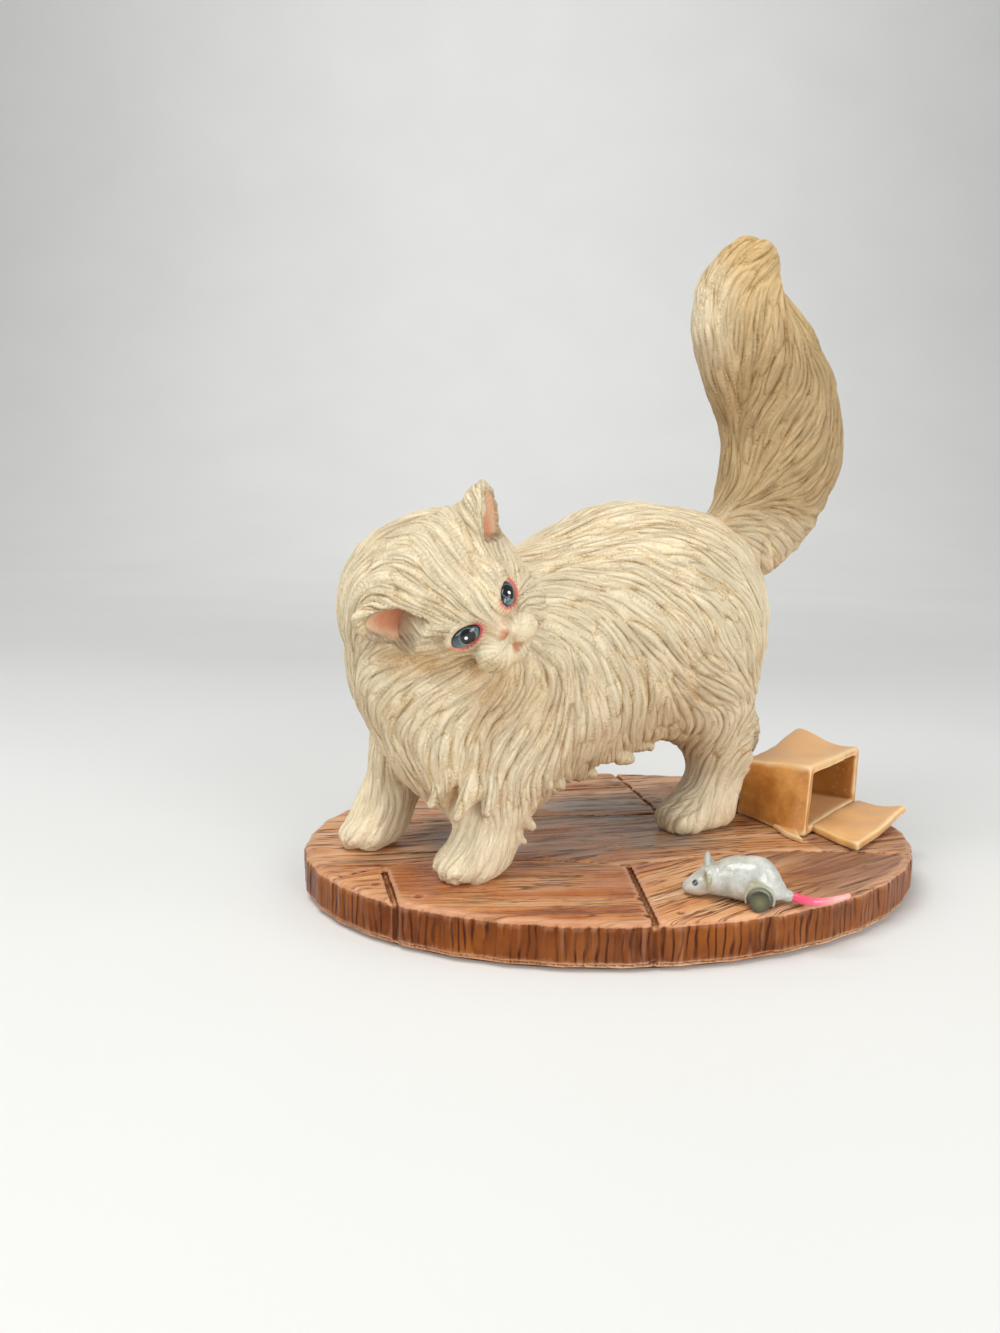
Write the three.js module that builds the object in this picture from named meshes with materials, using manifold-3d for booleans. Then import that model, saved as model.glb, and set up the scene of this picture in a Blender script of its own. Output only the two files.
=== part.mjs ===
// A long-haired cat figurine in cast resin. The cat walks over an oval of old floorboards and looks back past
// its left shoulder at a toy mouse. An opened carton lies behind it. Millimetres, +Z up. The origin is on the
// table, under the centre of the base. +X runs along the boards from the cat's head to its tail, and the cat's
// face looks out on the -Y side.
import * as THREE from "three";
import { mergeVertices } from "three/addons/utils/BufferGeometryUtils.js";
import Module from "manifold-3d";

const wasm = await Module();
wasm.setup();

// The base: an oval slab of boards on a sheet of felt.
const BASE_LENGTH = 152; // along the boards
const BASE_DEPTH = 113; // across the boards
const BASE_THICK = 9.3;
const RIM_ROUND = 1; // worn edge round the boards
const RIM_SEGMENTS = 80;
const SAW_DEPTH = 0.35; // ripple that the saw left round the rim
const SAW_MARKS = 40;
const SEAM_WIDTH = 1.5;
const SEAM_DEPTH = 1.4;
const JOINT_RUN = 1.3; // how far an end joint cuts into the side of the slab
const FELT_THICK = 1;
const FELT_INSET = 2.5; // the felt stops this far inside the rim
const BOARD_TOP = FELT_THICK + BASE_THICK;

// The cat, in its own frame: x from the chest to the tail, y to the cat's right, z up from the boards.
const CAT_X = -51.8; // where that frame stands on the base
const CAT_Y = -10.3;
const CAT_TURN = THREE.MathUtils.degToRad(15);
const CAT_HEIGHT = 148.4; // from the boards to the top of the tail
const CAT_DRAWN = 148.4; // the height that its forms below are drawn at
const BODY_SLIM = 1.22; // the trunk is taller than it is wide by this factor
const TAIL_SLIM = 1.75; // and the tail is wide and thin
const BODY_CELL = 5.5; // facet sizes of the sculpted castings
const HEAD_CELL = 2.6;
const TAIL_CELL = 4.2;
const SEAT_CELL = 3; // of the hollows that they sit in

// The main locks of its coat are ridges that taper to a point.
const LOCK_WIDTH = 8.5;
const LOCK_HEIGHT = 1.5;
const LOCK_ROOT = 5; // how deep it is rooted
const LOCK_STEPS = 4;
const LOCK_SPACING = 13;

// The head, in its own frame: x to the cat's left, y to the back, z up.
const HEAD_X = 4.2;
const HEAD_Y = -15.5;
const HEAD_Z = 60.3;
const HEAD_TURN = THREE.MathUtils.degToRad(-11);
const HEAD_NOD = THREE.MathUtils.degToRad(6.3);
const HEAD_TILT = THREE.MathUtils.degToRad(-45.5);
const SKULL_RADIUS = 15;
const EAR_LENGTH = 12.8;
const EAR_WIDTH = 11.6;
const EAR_DEPTH = 6.8;
const EAR_RIM = 0.9; // thickness of its edge
const EAR_SIDES = 20;
const EYE_SPREAD = 5.3; // from the middle of the face
const EYE_HALF_LENGTH = 3.6;
const EYE_HALF_HEIGHT = 2.2;
const EYE_HALF_DEPTH = 2.2;
const EYE_FRONT = 14.6; // how far in front of the head's centre
const EYE_GAP = 0.2;
const EYE_SLANT = THREE.MathUtils.degToRad(6);
const EYE_FLARE = THREE.MathUtils.degToRad(24);

// Joins.
const SEAT_GAP = 0.4; // glue line between two castings
const PIN_GAP = 0.15;
const PAW_PIN_RADIUS = 1.2;
const PAW_PIN_LENGTH = 12;
const PAW_PIN_SINK = 6; // the part of its length that is in the base
const NECK_PIN_RADIUS = 2;
const NECK_PIN_LENGTH = 18;
const TAIL_PIN_RADIUS = 2;
const TAIL_PIN_LENGTH = 20;
const PIN_SIDES = 12;

// The carton.
const CARTON_X = 48.6; // its near bottom corner on the base
const CARTON_Y = -9.6;
const CARTON_TURN = THREE.MathUtils.degToRad(35.7);
const CARTON_WIDTH = 32; // along the open side
const CARTON_DEPTH = 17;
const CARTON_HEIGHT = 17;
const CARTON_WALL = 2.2;
const CARTON_LEAN = THREE.MathUtils.degToRad(9.5); // crushed out of square, seen from above
const FLAP_LENGTH = 15.5;
const FLAP_SPLAY = 8; // its free end leans this far to the near side
const FLAP_THICK = 2.2;
const SIDE_FLAP_THICK = 1.4;
const CARTON_SOFT = 0.8; // rounding of its edges

// The toy mouse.
const MOUSE_X = 9.9;
const MOUSE_Y = -47.2;
const MOUSE_TURN = THREE.MathUtils.degToRad(-28);
const MOUSE_LENGTH = 22;
const MOUSE_HEIGHT = 9.8;
const WHEEL_RADIUS = 2.1;
const WHEEL_WIDTH = 1.4;
const WHEEL_ALONG = 4.7; // from the middle of the mouse toward its tail
const WHEEL_TRACK = 5.6; // from the middle of the mouse out to a wheel
const AXLE_RADIUS = 0.7;
const MOUSE_TAIL_RADIUS = 1;
const MOUSE_CELL = 1.6;

// Solids from closed meshes, and back.
function solidOf(geometry, matrix = new THREE.Matrix4()) {
  const bare = geometry.clone().applyMatrix4(matrix);
  bare.deleteAttribute("normal");
  bare.deleteAttribute("uv");
  const merged = mergeVertices(bare, 1e-4);
  return new wasm.Manifold(
    new wasm.Mesh({
      numProp: 3,
      vertProperties: new Float32Array(merged.getAttribute("position").array),
      triVerts: new Uint32Array(merged.getIndex().array),
    }),
  );
}

function geometryOf(solid) {
  const mesh = solid.getMesh();
  const geometry = new THREE.BufferGeometry();
  const points = new Float32Array(mesh.numVert * 3);
  for (let i = 0; i < mesh.numVert; i += 1) {
    for (let k = 0; k < 3; k += 1) {
      points[3 * i + k] = mesh.vertProperties[mesh.numProp * i + k];
    }
  }
  geometry.setAttribute("position", new THREE.BufferAttribute(points, 3));
  geometry.setIndex(new THREE.BufferAttribute(new Uint32Array(mesh.triVerts), 1));
  geometry.computeVertexNormals();
  return geometry;
}

function at(x, y, z) {
  return new THREE.Vector3(x, y, z);
}

// A form is a function of a point that is negative inside and grows outside by about the distance, and it knows
// the box that it fills. A cone has a ball at each end, an egg is an ellipsoid, and blends melt one form into
// the next over a given width.
function boxed(box, form) {
  form.box = box;
  return form;
}

function boxOf(forms) {
  return forms.reduce((box, form) => box.union(form.box), new THREE.Box3());
}

function cone(a, radiusA, b, radiusB) {
  const axis = b.clone().sub(a);
  const lengthSq = axis.lengthSq();
  const drop = radiusA - radiusB;
  const slopeSq = lengthSq - drop * drop;
  const inverse = 1 / lengthSq;
  const p = new THREE.Vector3();
  const q = new THREE.Vector3();
  const box = new THREE.Box3().setFromPoints([a, b]).expandByScalar(Math.max(radiusA, radiusB));
  return boxed(box, (x, y, z) => {
    p.set(x, y, z).sub(a);
    const along = p.dot(axis);
    const past = along - lengthSq;
    const off = q.copy(p).multiplyScalar(lengthSq).addScaledVector(axis, -along).lengthSq();
    const pastSq = past * past * lengthSq;
    const alongSq = along * along * lengthSq;
    const side = Math.sign(drop) * drop * drop * off;
    if (Math.sign(past) * slopeSq * pastSq > side) {
      return Math.sqrt(off + pastSq) * inverse - radiusB;
    }
    if (Math.sign(along) * slopeSq * alongSq < side) {
      return Math.sqrt(off + alongSq) * inverse - radiusA;
    }
    return (Math.sqrt(off * slopeSq * inverse) + along * drop) * inverse - radiusA;
  });
}

function egg(centre, radii, turn = new THREE.Euler()) {
  const inverse = new THREE.Matrix4().makeRotationFromEuler(turn).setPosition(centre).invert();
  const p = new THREE.Vector3();
  const reach = Math.max(radii.x, radii.y, radii.z);
  const box = new THREE.Box3().setFromPoints([centre]).expandByScalar(reach);
  return boxed(box, (x, y, z) => {
    p.set(x, y, z).applyMatrix4(inverse);
    const k0 = Math.hypot(p.x / radii.x, p.y / radii.y, p.z / radii.z);
    const k1 = Math.hypot(p.x / radii.x ** 2, p.y / radii.y ** 2, p.z / radii.z ** 2);
    return k1 < 1e-9 ? -Math.min(radii.x, radii.y, radii.z) : (k0 * (k0 - 1)) / k1;
  });
}

function slim(form, factor) {
  const box = form.box.clone();
  box.min.y /= factor;
  box.max.y /= factor;
  return boxed(box, (x, y, z) => form(x, y * factor, z));
}

function blend(width, ...forms) {
  return boxed(boxOf(forms), (x, y, z) => {
    let d = forms[0](x, y, z);
    for (let i = 1; i < forms.length; i += 1) {
      const e = forms[i](x, y, z);
      const h = Math.max(width - Math.abs(d - e), 0) / width;
      d = Math.min(d, e) - h * h * width * 0.25;
    }
    return d;
  });
}

function grown(form, by) {
  return boxed(form.box.clone().expandByScalar(by), (x, y, z) => form(x, y, z) - by);
}

// A form seen from the frame that the matrix carries it into.
function carried(form, matrix) {
  const inverse = matrix.clone().invert();
  const p = new THREE.Vector3();
  return boxed(form.box.clone().applyMatrix4(matrix), (x, y, z) => {
    p.set(x, y, z).applyMatrix4(inverse);
    return form(p.x, p.y, p.z);
  });
}

// A chain of cones through [x, y, z, radius] stations.
function chain(stations) {
  const links = [];
  for (let i = 1; i < stations.length; i += 1) {
    const [x0, y0, z0, r0] = stations[i - 1];
    const [x1, y1, z1, r1] = stations[i];
    links.push(cone(at(x0, y0, z0), r0, at(x1, y1, z1), r1));
  }
  return boxed(boxOf(links), (x, y, z) => Math.min(...links.map((link) => link(x, y, z))));
}

// Steps along one axis, from `low` to `high`, each as long as `size` says at that place.
function steps(low, high, size) {
  const marks = [low];
  while (marks[marks.length - 1] < high) {
    const last = marks[marks.length - 1];
    marks.push(last + size(last));
  }
  return marks;
}

// The skin of a form on a grid: one vertex for each sheet of skin in each cell, joined across the grid edges
// that the skin cuts. The vertices are then drawn onto the form itself.
const CORNERS = [0, 1, 2, 3, 4, 5, 6, 7].map((i) => [i & 1, (i >> 1) & 1, (i >> 2) & 1]);
const EDGES = [];
for (let a = 0; a < 8; a += 1) {
  for (let bit = 1; bit < 8; bit *= 2) {
    if (!(a & bit)) {
      EDGES.push([a, a | bit]);
    }
  }
}
const FACES = [];
for (let axis = 1; axis < 8; axis *= 2) {
  for (const side of [0, axis]) {
    FACES.push(EDGES.map((e, i) => i).filter((i) => EDGES[i].every((c) => (c & axis) === side)));
  }
}

function skin(form, sizeX, sizeY = sizeX, sizeZ = sizeX) {
  const room = form.box.clone().expandByScalar(2 * sizeX(form.box.min.x));
  const [xs, ys, zs] = [sizeX, sizeY, sizeZ].map((size, axis) => {
    return steps(room.min.getComponent(axis), room.max.getComponent(axis) + size(0), size);
  });
  const [nx, ny, nz] = [xs.length, ys.length, zs.length];
  const values = new Float64Array(nx * ny * nz);
  const index = (i, j, k) => i + nx * (j + ny * k);
  for (let k = 0; k < nz; k += 1) {
    for (let j = 0; j < ny; j += 1) {
      for (let i = 0; i < nx; i += 1) {
        values[index(i, j, k)] = form(xs[i], ys[j], zs[k]);
      }
    }
  }
  for (let n = nx * ny; n < values.length - nx * ny; n += 1) {
    const around = [1, -1, nx, -nx, nx * ny, -nx * ny].map((shift) => values[n + shift]);
    if (around.every((v) => v < 0 !== values[n] < 0)) {
      values[n] = Math.sign(around[0]) * 1e-3; // a lone speck is dropped
    }
  }
  const points = [];
  const cells = new Map();
  for (let k = 0; k < nz - 1; k += 1) {
    for (let j = 0; j < ny - 1; j += 1) {
      for (let i = 0; i < nx - 1; i += 1) {
        const corner = CORNERS.map(([a, b, c]) => values[index(i + a, j + b, k + c)]);
        const inside = corner.map((v) => v < 0);
        if (inside.every((v) => v === inside[0])) {
          continue;
        }
        const cut = EDGES.map(([a, b]) => inside[a] !== inside[b]);
        const sheet = EDGES.map((e, n) => n);
        const find = (n) => (sheet[n] === n ? n : find(sheet[n]));
        for (const face of FACES) {
          const crossed = face.filter((n) => cut[n]);
          if (crossed.length === 2) {
            sheet[find(crossed[0])] = find(crossed[1]);
          }
          if (crossed.length === 4) {
            for (const n of crossed) {
              for (const m of crossed) {
                if (EDGES[n].some((c) => inside[c] && EDGES[m].includes(c))) {
                  sheet[find(n)] = find(m);
                }
              }
            }
          }
        }
        const vertexOf = new Map();
        const owner = new Int32Array(12).fill(-1);
        EDGES.forEach(([a, b], n) => {
          if (!cut[n]) {
            return;
          }
          const root = find(n);
          if (!vertexOf.has(root)) {
            vertexOf.set(root, { id: points.length, count: 0 });
            points.push(new THREE.Vector3());
          }
          const vertex = vertexOf.get(root);
          const t = corner[a] / (corner[a] - corner[b]);
          const [pa, pb] = [CORNERS[a], CORNERS[b]];
          const spot = [xs, ys, zs].map((marks, axis) => {
            const base = [i, j, k][axis];
            const from = marks[base + pa[axis]];
            return from + t * (marks[base + pb[axis]] - from);
          });
          points[vertex.id].add(at(...spot));
          vertex.count += 1;
          owner[n] = vertex.id;
        });
        for (const { id, count } of vertexOf.values()) {
          points[id].divideScalar(count);
        }
        cells.set(index(i, j, k), owner);
      }
    }
  }
  const step = 0.05;
  for (const p of points) {
    for (let turn = 0; turn < 3; turn += 1) {
      const d = form(p.x, p.y, p.z);
      const slope = at(
        form(p.x + step, p.y, p.z) - form(p.x - step, p.y, p.z),
        form(p.x, p.y + step, p.z) - form(p.x, p.y - step, p.z),
        form(p.x, p.y, p.z + step) - form(p.x, p.y, p.z - step),
      ).divideScalar(2 * step);
      const lengthSq = Math.max(slope.lengthSq(), 0.2);
      p.addScaledVector(slope, -THREE.MathUtils.clamp(d, -0.6, 0.6) / lengthSq);
    }
  }
  const triangles = [];
  const edgeAt = (a, b) => EDGES.findIndex((e) => e[0] === a && e[1] === b);
  for (let k = 1; k < nz - 1; k += 1) {
    for (let j = 1; j < ny - 1; j += 1) {
      for (let i = 1; i < nx - 1; i += 1) {
        const here = values[index(i, j, k)] < 0;
        [1, 2, 4].forEach((bit, axis) => {
          const next = [i, j, k];
          next[axis] += 1;
          const there = values[index(...next)] < 0;
          if (here === there) {
            return;
          }
          const [u, v] = [(axis + 1) % 3, (axis + 2) % 3];
          const ring = [[0, 0], [1, 0], [1, 1], [0, 1]].map(([du, dv]) => {
            const cell = [i, j, k];
            cell[u] -= du;
            cell[v] -= dv;
            const low = (du ? 1 << u : 0) | (dv ? 1 << v : 0);
            return cells.get(index(...cell))[edgeAt(low, low | bit)];
          });
          const [a, b, c, d] = here ? ring : ring.slice().reverse();
          if (points[a].distanceTo(points[c]) < points[b].distanceTo(points[d])) {
            triangles.push(a, b, c, a, c, d);
          } else {
            triangles.push(a, b, d, b, c, d);
          }
        });
      }
    }
  }
  const geometry = new THREE.BufferGeometry().setFromPoints(points);
  geometry.setIndex(triangles);
  return geometry;
}

const root = new THREE.Group();
const cat = new THREE.Group();
cat.position.set(CAT_X, CAT_Y, BOARD_TOP);
cat.rotation.z = CAT_TURN;
cat.scale.setScalar(CAT_HEIGHT / CAT_DRAWN);
root.add(cat);

function add(parent, name, geometry, colour, roughness, metalness = 0) {
  const material = new THREE.MeshStandardMaterial({ color: colour, roughness, metalness });
  const mesh = new THREE.Mesh(geometry, material);
  mesh.name = name;
  parent.add(mesh);
  return mesh;
}

// Head form: skull, cheeks, brow, muzzle, chin and the nape that runs back to the neck.
const mirror = (make) => [1, -1].map(make);
const headGroup = new THREE.Group();
headGroup.position.set(HEAD_X, HEAD_Y, HEAD_Z);
headGroup.rotation.set(HEAD_NOD, HEAD_TILT, HEAD_TURN, "ZXY");
headGroup.updateMatrix();
cat.add(headGroup);
const headInverse = headGroup.matrix.clone().invert();

const face = blend(
  3,
  egg(at(-0.2, 1, 2.5), at(SKULL_RADIUS - 0.6, SKULL_RADIUS, SKULL_RADIUS)),
  ...mirror((s) => cone(at(s * 8, 0, 9), 5, at(s * 12.2, -1.4, 12), 3.6)),
  egg(at(0, -6.2, -1.5), at(10.5, 10, 10.5)),
  egg(at(6.5, -5, -6), at(6.5, 8.5, 7)),
  egg(at(-9.5, -2.5, -8), at(8.5, 8.5, 8.5)),
  cone(at(0, -13.4, 3.5), 2.8, at(0, -16.4, -3), 1.9),
  ...mirror((s) => egg(at(s * 5.6, -13.2, 4.2), at(4.2, 2.2, 1.9))),
);
const muzzle = blend(
  1.4,
  face,
  ...mirror((s) => egg(at(s * 3.2, -15.4, -6.8), at(3.4, 2.9, 3))),
  egg(at(0, -14.8, -10), at(3, 2.4, 2.1)),
  egg(at(0, -17.6, -4.3), at(1.6, 1.2, 1.1)),
);
const napeForm = chain([
  [HEAD_X - 2.4, HEAD_Y + 6, HEAD_Z + 3, 15.3],
  [0.2, -5, 58.3, 18.9],
]);
const headForm = blend(5, muzzle, carried(napeForm, headInverse));

// An ear is a flattened cone with a smaller one cut out of its front. The left ear is turned out and the right
// one forward.
const ears = [
  [at(10.6, -3.8, 6.5), at(0.62, -0.08, 0.78), at(-0.66, 0.6, 0.35)],
  [at(-11.9, -3.8, 5.1), at(-0.56, -0.33, 0.74), at(0.39, 0.9, 0.06)],
].map(([root, up, back]) => {
  up.normalize();
  back.addScaledVector(up, -back.dot(up)).normalize();
  const spot = new THREE.Matrix4().makeBasis(back.clone().cross(up), back, up).setPosition(root);
  const shell = new THREE.CylinderGeometry(EAR_RIM, EAR_WIDTH / 2, EAR_LENGTH, EAR_SIDES, 3);
  const cup = new THREE.CylinderGeometry(0.2, EAR_WIDTH / 2 - EAR_RIM, EAR_LENGTH - 3, EAR_SIDES, 1);
  shell.rotateX(Math.PI / 2).scale(1, EAR_DEPTH / EAR_WIDTH, 1).translate(0, 0, EAR_LENGTH / 2);
  cup.rotateX(Math.PI / 2).scale(1, 0.9, 1).translate(0, -EAR_DEPTH / 2, EAR_LENGTH / 2 + 0.8);
  return solidOf(shell, spot).subtract(solidOf(cup, spot));
});

// Body form: trunk, ruff, four legs with feathering, and the fringe under the belly.
const trunk = slim(
  chain([
    [13, 0, 39, 22],
    [56, 0, 52, 30],
    [70, 0, 54, 26.4],
  ]),
  BODY_SLIM,
);
const neck = chain([
  [16, -2, 50, 19],
  [1, -3, 48, 17],
]);
const ruff = chain([
  [-1, -7, 43, 14.5],
  [1, -9, 30, 11.5],
  [1.5, -11, 15, 3],
]);

function paw(x, y, turn, long) {
  const c = Math.cos(turn);
  const s = Math.sin(turn);
  const place = (u, v, z) => at(x + u * c - v * s, y + u * s + v * c, z);
  const tilt = new THREE.Euler(0, 0, turn);
  const toes = [-1.5, -0.5, 0.5, 1.5].map((v) => {
    const reach = long - 2.6 - 0.9 * v * v;
    return egg(place(-reach, v * 3.7, 2.9), at(4.4, 2.3, 3.6), new THREE.Euler(0, 0, turn + v * -0.12));
  });
  return blend(1.2, egg(place(0.5, 0, 3.6), at(long - 2, 7.3, 5.8), tilt), ...toes);
}

const legs = [
  blend(
    5,
    chain([[21, -12, 46, 12], [18, -14.5, 27, 9], [11.5, -15, 10, 6.6]]),
    paw(8, -15.3, 0.3, 10.5),
    chain([[21, -13, 24, 7], [24, -12.5, 8.5, 1.8]]),
  ),
  blend(
    5,
    chain([[10, 11, 44, 10], [3.5, 13, 26, 8], [-1.5, 14, 10, 6.6]]),
    paw(-4, 14, 0.15, 9.5),
    chain([[5, 14, 26, 6.5], [7.5, 14, 9, 1.8]]),
  ),
  blend(
    5,
    chain([[75, -9, 48, 13], [75, -10, 32, 10.5], [80.5, -9, 16, 7.4], [78.5, -9.2, 7, 7]]),
    paw(74.5, -8.6, 0.1, 11.5),
    chain([[83, -7, 44, 8], [86.5, -9, 17, 4.4]]),
  ),
  blend(
    5,
    chain([[82, 9, 48, 13], [88, 10, 32, 10], [102.5, 11, 17, 7.8], [99, 10.5, 7, 6.5]]),
    paw(97, 10.5, 0, 11),
    chain([[92, 7, 44, 7], [103.5, 9, 21, 5.4]]),
  ),
];
const fringe = [];
for (const side of [-1, 1]) {
  for (let i = 0; i < 5; i += 1) {
    const x = 26 + i * 8;
    const hem = 11.5 + 0.36 * (x - 22);
    fringe.push(cone(at(x - 4, side * 14, hem + 17), 8, at(x + 2, side * 10, hem + 4), 4));
  }
}
const bodyForm = blend(2.5, blend(6, trunk, neck, ruff, ...legs), ...fringe);

// The hair lies back along the spine and ever steeper down the flanks. On the ruff it hangs straight down.
function lieOfHair(p) {
  const flank = THREE.MathUtils.smoothstep(78 - p.z, 0, 38);
  const ruffed = THREE.MathUtils.smoothstep(26 - p.x, 0, 14);
  const drop = THREE.MathUtils.lerp(flank * 1.2, 1.7, ruffed);
  return at(Math.cos(drop), 0, -Math.sin(drop));
}

function outward(form, p) {
  const near = 0.1;
  return at(
    form(p.x + near, p.y, p.z) - form(p.x - near, p.y, p.z),
    form(p.x, p.y + near, p.z) - form(p.x, p.y - near, p.z),
    form(p.x, p.y, p.z + near) - form(p.x, p.y, p.z - near),
  ).divideScalar(2 * near);
}

function onSkin(form, p) {
  for (let i = 0; i < 6; i += 1) {
    const slope = outward(form, p);
    p.addScaledVector(slope, -form(p.x, p.y, p.z) / slope.lengthSq());
  }
  return p;
}

// A lock is a four-sided rod bent over the skin: it swells past its root and runs out to a point.
function lock(form, start, length) {
  const middles = [onSkin(form, start)];
  for (let i = 0; i < LOCK_STEPS; i += 1) {
    const last = middles[i];
    const slope = outward(form, last).normalize();
    const along = lieOfHair(last);
    along.addScaledVector(slope, -along.dot(slope)).normalize();
    middles.push(onSkin(form, last.clone().addScaledVector(along, length / LOCK_STEPS)));
  }
  const rod = new THREE.CylinderGeometry(1, 1, LOCK_STEPS, 4, LOCK_STEPS);
  const points = rod.getAttribute("position");
  for (let k = 0; k < points.count; k += 1) {
    const step = Math.round(LOCK_STEPS / 2 - points.getY(k));
    const swell = Math.max(0.12, Math.sin(Math.PI * (step / LOCK_STEPS) ** 0.75));
    const middle = middles[step];
    const slope = outward(form, middle).normalize();
    const along = middles[Math.min(step + 1, LOCK_STEPS)].clone().sub(middles[Math.max(step - 1, 0)]);
    const across = along.cross(slope).normalize();
    const rise = points.getX(k);
    const spot = middle.clone().addScaledVector(across, (points.getZ(k) * swell * LOCK_WIDTH) / 2);
    spot.addScaledVector(slope, rise > 0 ? rise * swell * LOCK_HEIGHT : rise * LOCK_ROOT);
    points.setXYZ(k, spot.x, spot.y, spot.z);
  }
  return solidOf(rod);
}

// Rows of locks on both sides: the height of the row, where it starts, how many, and how long they are.
const LOCK_ROWS = [
  [76, 36, 3, 22],
  [61, 29, 4, 20],
  [45, 35, 3, 17],
  [50, 4, 2, 20],
  [34, -2, 1, 16],
];
const locks = [];
for (const [z, first, count, length] of LOCK_ROWS) {
  for (let i = 0; i < count; i += 1) {
    for (const side of [-1, 1]) {
      locks.push(lock(bodyForm, at(first + i * LOCK_SPACING, side * 24, z), length));
    }
  }
}

// Tail form: a plume that leans back, swells, and curls over at the tip.
const tailForm = slim(
  blend(
    4,
    chain([
      [86, 0, 70, 9],
      [95, 0, 76, 13],
      [101.5, 0, 84, 16.5],
      [106, 0, 96, 18.5],
      [103, 0, 107, 18.5],
      [96, 0, 117, 17.5],
      [88.8, 0, 125, 14.6],
      [86.4, 0, 131, 12.3],
      [89.5, 0, 138, 10],
      [96, 0, 142.5, 6],
      [102, 0, 145.5, 2],
    ]),
    chain([
      [104, 0, 84, 13],
      [99, 0, 62, 3.5],
    ]),
  ),
  TAIL_SLIM,
);

// The facets are finest on the toes and on the face.
const bodySkin = skin(
  bodyForm,
  () => BODY_CELL,
  () => BODY_CELL,
  (z) => BODY_CELL * (z < 8 ? 0.65 : z < 28 ? 0.85 : 1.2),
);
const headSkin = skin(
  headForm,
  (x) => HEAD_CELL * (Math.abs(x) < 8 ? 0.65 : 1.5),
  (y) => HEAD_CELL * (y < -9 ? 0.65 : 1.5),
  (z) => HEAD_CELL * (z < -13 ? 1.5 : z < 8 ? 0.65 : 1.3),
);
const headSeat = skin(grown(headForm, SEAT_GAP), () => SEAT_CELL);
const tailSkin = skin(tailForm, () => TAIL_CELL);
const tailSeat = skin(grown(tailForm, SEAT_GAP), () => SEAT_CELL);

// The base: an oval slab with a rippled, round-edged rim, cut by the seams between its boards.
function oval(inset, ripple) {
  const shape = new THREE.Shape();
  for (let i = 0; i < RIM_SEGMENTS; i += 1) {
    const angle = (i / RIM_SEGMENTS) * 2 * Math.PI;
    const cut = inset + ripple * (0.5 + 0.5 * Math.cos(SAW_MARKS * angle));
    const x = (BASE_LENGTH / 2 - cut) * Math.cos(angle);
    const y = (BASE_DEPTH / 2 - cut) * Math.sin(angle);
    shape[i ? "lineTo" : "moveTo"](x, y);
  }
  shape.closePath();
  return shape;
}

const slab = new THREE.ExtrudeGeometry(oval(RIM_ROUND, SAW_DEPTH), {
  depth: BASE_THICK - 2 * RIM_ROUND,
  bevelThickness: RIM_ROUND,
  bevelSize: RIM_ROUND,
  bevelSegments: 1,
  curveSegments: 1,
}).translate(0, 0, FELT_THICK + RIM_ROUND);

// A long seam is a V that follows a gently bent line, and an end joint also runs down the side of the slab.
function longSeam(points) {
  const path = new THREE.CatmullRomCurve3(points.map(([x, y]) => at(x, y, BOARD_TOP)));
  const profile = new THREE.Shape();
  profile.moveTo(-SEAM_DEPTH, 0);
  profile.lineTo(0, -SEAM_WIDTH / 2);
  profile.lineTo(SEAM_DEPTH, 0);
  profile.lineTo(0, SEAM_WIDTH / 2);
  profile.closePath();
  return new THREE.ExtrudeGeometry(profile, { steps: 20, extrudePath: path, bevelEnabled: false });
}

function endJoint(from, to) {
  const run = Math.hypot(to[0] - from[0], to[1] - from[1]);
  const profile = new THREE.Shape();
  profile.moveTo(0, BOARD_TOP - SEAM_DEPTH);
  profile.lineTo(run - JOINT_RUN, BOARD_TOP - SEAM_DEPTH);
  profile.lineTo(run - JOINT_RUN, FELT_THICK - 1);
  profile.lineTo(run + 4, FELT_THICK - 1);
  profile.lineTo(run + 4, BOARD_TOP + 1);
  profile.lineTo(0, BOARD_TOP + 1);
  profile.closePath();
  const cut = new THREE.ExtrudeGeometry(profile, { depth: SEAM_WIDTH * 0.8, bevelEnabled: false });
  cut.translate(0, 0, -SEAM_WIDTH * 0.4).rotateX(Math.PI / 2);
  cut.rotateZ(Math.atan2(to[1] - from[1], to[0] - from[0]));
  return cut.translate(from[0], from[1], 0);
}

function rimPoint(from, toward) {
  const [dx, dy] = [toward[0] - from[0], toward[1] - from[1]];
  const [a, b] = [BASE_LENGTH / 2, BASE_DEPTH / 2];
  const A = (dx / a) ** 2 + (dy / b) ** 2;
  const B = (from[0] * dx) / a ** 2 + (from[1] * dy) / b ** 2;
  const C = (from[0] / a) ** 2 + (from[1] / b) ** 2 - 1;
  const t = (-B + Math.sqrt(B * B - A * C)) / A;
  return [from[0] + t * dx, from[1] + t * dy];
}

const seams = [
  longSeam([[-BASE_LENGTH / 2, -20.5], [-49, -12], [-17, -18.5], [-6, -23]]),
  longSeam([[-7, -23.5], [31, -20], [BASE_LENGTH / 2, -32.5]]),
  longSeam([[-BASE_LENGTH / 2, 15], [-20, 17], [25, 12], [BASE_LENGTH / 2, 16]]),
  endJoint([-59.4, -17], rimPoint([-59.4, -17], [-59.6, -39.9])),
  endJoint([-5, -24], rimPoint([-5, -24], [-11.9, -59.2])),
  endJoint([18, 14.5], rimPoint([18, 14.5], [20, 50])),
];
let baseSolid = solidOf(slab);
for (const seam of seams) {
  baseSolid = baseSolid.subtract(solidOf(seam));
}

const feltOutline = new THREE.Shape();
feltOutline.absellipse(0, 0, BASE_LENGTH / 2 - FELT_INSET, BASE_DEPTH / 2 - FELT_INSET, 0, 2 * Math.PI, false, 0);
const felt = new THREE.ExtrudeGeometry(feltOutline, {
  depth: FELT_THICK,
  curveSegments: 24,
  bevelEnabled: false,
});

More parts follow.
